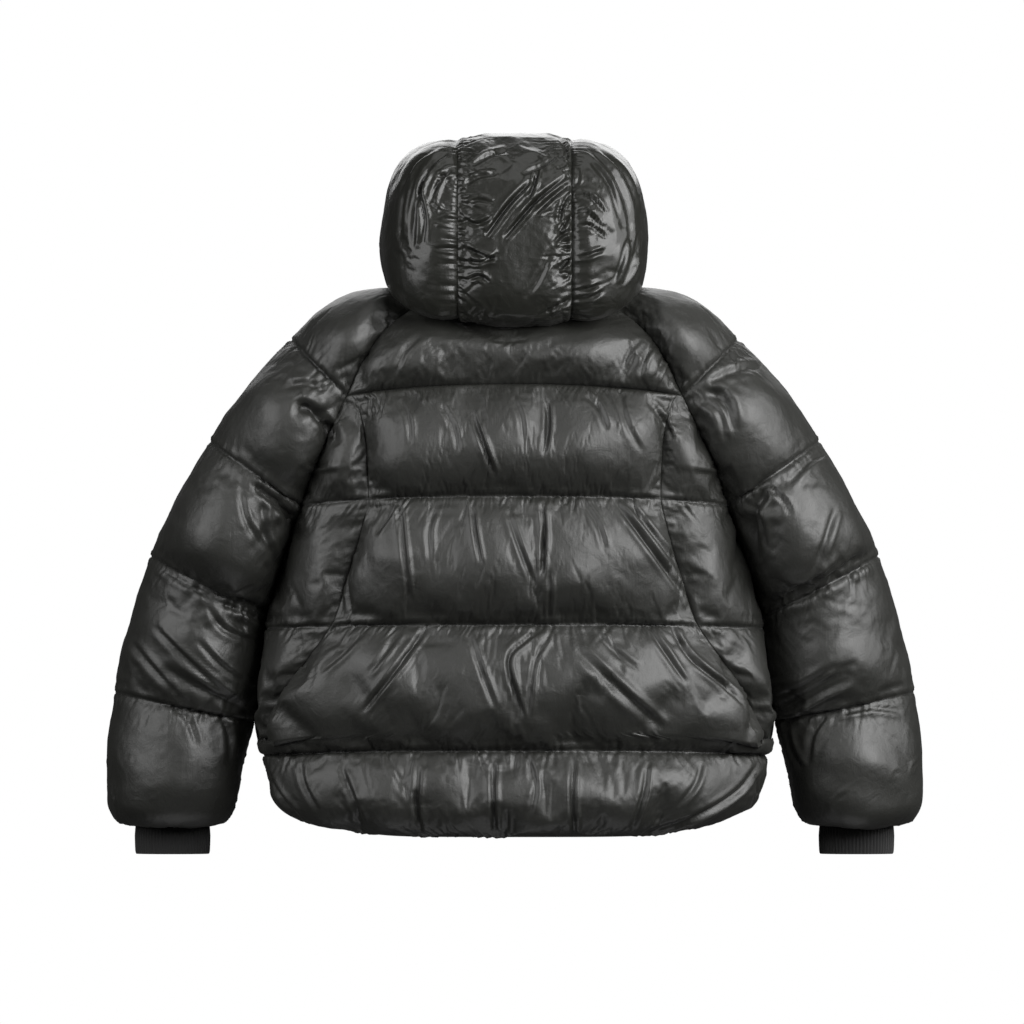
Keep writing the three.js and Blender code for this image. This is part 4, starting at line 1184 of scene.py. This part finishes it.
def simplePiece(name, points, faces, material, slot):
    mesh = bpy.data.meshes.new(name)
    mesh.from_pydata((np.array(points) / 1000).tolist(), [], faces)
    mesh.polygons.foreach_set("use_smooth", [True] * len(mesh.polygons))
    mesh.materials.append(material)
    item = bpy.data.objects.new(name, mesh)
    bpy.context.scene.collection.objects.link(item)
    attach(item, "root")
    return item


simplePiece("quilt_stitches", *quiltStitches(), threadCloth, "shell")
stage("quilting sewn")

# rib cuffs

cuffSizes = {"halfWidth": 46.5, "halfDepth": 24.0, "length": 35.0, "top": -660.3, "middleX": 430.5,
             "middleY": 55.0, "ribs": 64, "ribHeight": 0.8, "around": 512, "ovalShare": 1.027}
# the cuff's section: mm down, mm out, and the share of the ribs' height
cuffProfile = [(0, 0, 0.2), (0.4, 0.0, 1.0), (3, 0.3, 1.0), (12, 0.9, 1.0), (24, 0.6, 1.0), (31, 0.2, 1.0),
               (34, -0.3, 0.8), (35, -1.1, 0.3), (34.6, -2.2, 0.2), (32, -2.5, 0.1), (0, -2.6, 0.0)]


def cuffPiece(name, sign, node):
    s = cuffSizes
    around = s["around"]
    angle = np.linspace(0, 2 * math.pi, around, endpoint=False)
    rib = 0.5 + 0.5 * np.cos(angle * s["ribs"])
    rings = []
    for down, out, ribShare in cuffProfile:
        grow = out + s["ribHeight"] * (rib ** 0.7 - 0.6) * ribShare
        x = sign * (s["middleX"] + (s["halfWidth"] + grow) * np.cos(angle))
        y = s["middleY"] + (s["halfDepth"] + grow) * np.sin(angle)
        rings.append(np.column_stack((x, y, np.full(around, s["top"] - down))))
    points = np.vstack(rings)
    faces = []
    for r in range(len(rings)):
        below = (r + 1) % len(rings) * around
        for i in range(around):
            j = (i + 1) % around
            quad = (r * around + i, r * around + j, below + j, below + i)
            faces.append(quad if sign < 0 else quad[::-1])
    item = simplePiece(name, points, faces, ribKnit, "rib")
    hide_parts(node)


for side, sign in (("right", 1), ("left", -1)):
    cuffPiece("rib_cuff_" + side, sign, "cuff_" + side)

stage("cuffs knitted")

# zip teeth, one row on each side of the middle

zipSizes = {"pitch": 2.5, "tooth": (3.2, 1.5, 1.9), "reach": 1.15, "proud": 1.3, "ends": 6.0}
# the section of a tooth: shares of its width, its length along the zip and its depth
toothSection = [(1.0, -0.5, 0.0), (1.0, -0.5, 0.6), (0.72, -0.34, 1.0), (0.72, 0.34, 1.0), (1.0, 0.5, 0.6),
                (1.0, 0.5, 0.0)]


def zipTeeth():
    down = np.linspace(0, 5, 260)
    below = bodyPoint(down, acrossAt(down, cut["zipHalfWidth"]), -1)
    path = np.vstack((np.linspace(faceLine[-1], below[0] + (0, 0, 0.9), 20)[:-1], below)) * (0, 1, 1)
    length = np.linalg.norm(np.diff(path, axis=0), axis=1).sum()
    count = int(length / zipSizes["pitch"] * 2)
    spots = evenSteps(path, count)
    along = np.gradient(spots, axis=0)
    along /= np.linalg.norm(along, axis=1, keepdims=True)
    up = np.cross(along, (1.0, 0, 0))
    up *= np.sign(up[:, 1:2])
    wide, tall, deep = zipSizes["tooth"]
    skip = int(zipSizes["ends"] / zipSizes["pitch"] * 2)
    points = []
    faces = []
    for k in range(skip, count - skip):
        side = 1 if k % 2 else -1
        middle = spots[k] + np.array((side * zipSizes["reach"], 0, 0))
        start = len(points)
        for end in (-0.5, 0.5):
            for share, way, lift in toothSection:
                spot = middle + np.array((end * wide * share, 0, 0)) + along[k] * way * tall
                points.append(spot + up[k] * (lift * deep - deep + zipSizes["proud"]))
        faces.append(tuple(start + i for i in range(6)))
        faces.append(tuple(start + 6 + i for i in reversed(range(6))))
        for i in range(6):
            j = (i + 1) % 6
            faces.append((start + j, start + i, start + 6 + i, start + 6 + j))
    return points, faces


teeth = simplePiece("zip_teeth", *zipTeeth(), zipTooth, "zip")
teeth.data.polygons.foreach_set("use_smooth", [False] * len(teeth.data.polygons))
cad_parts["front_zip"].data.materials.clear()
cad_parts["front_zip"].data.materials.append(zipTape)
stage("zip closed")

# floor

floorMesh = bpy.data.meshes.new("floor")
turns = np.linspace(0, 2 * math.pi, 144, endpoint=False)
ring = [(studio["floorRadius"] * math.cos(a), studio["floorRadius"] * math.sin(a), studio["floorHeight"])
        for a in turns]
floorMesh.from_pydata(ring, [], [tuple(range(len(ring)))])
floor = bpy.data.objects.new("floor", floorMesh)
bpy.context.scene.collection.objects.link(floor)
floorPaint, floorTree, floorSurface = newMaterial("pale_floor")
floorSurface.inputs["Base Color"].default_value = grey(0.8)
floorSurface.inputs["Roughness"].default_value = 0.9
floorSurface.inputs["Emission Color"].default_value = grey(0.55)
floorSurface.inputs["Emission Strength"].default_value = 1.0
floorMesh.materials.append(floorPaint)

# a white backdrop, which gives the jacket only a little light

world = bpy.data.worlds.new("studio")
bpy.context.scene.world = world
world.use_nodes = True
worldTree = world.node_tree
worldTree.nodes.clear()
rays = makeNode(worldTree, "ShaderNodeLightPath")
strength = rays * (1 - studio["ambient"]) + studio["ambient"]
backdrop = makeNode(worldTree, "ShaderNodeBackground", None, {"Color": grey(1.0), "Strength": strength})
worldOut = worldTree.nodes.new("ShaderNodeOutputWorld")
worldTree.links.new(backdrop.value, worldOut.inputs[0])
bpy.context.scene.view_settings.view_transform = "Standard"

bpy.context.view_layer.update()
stage("scene ready")
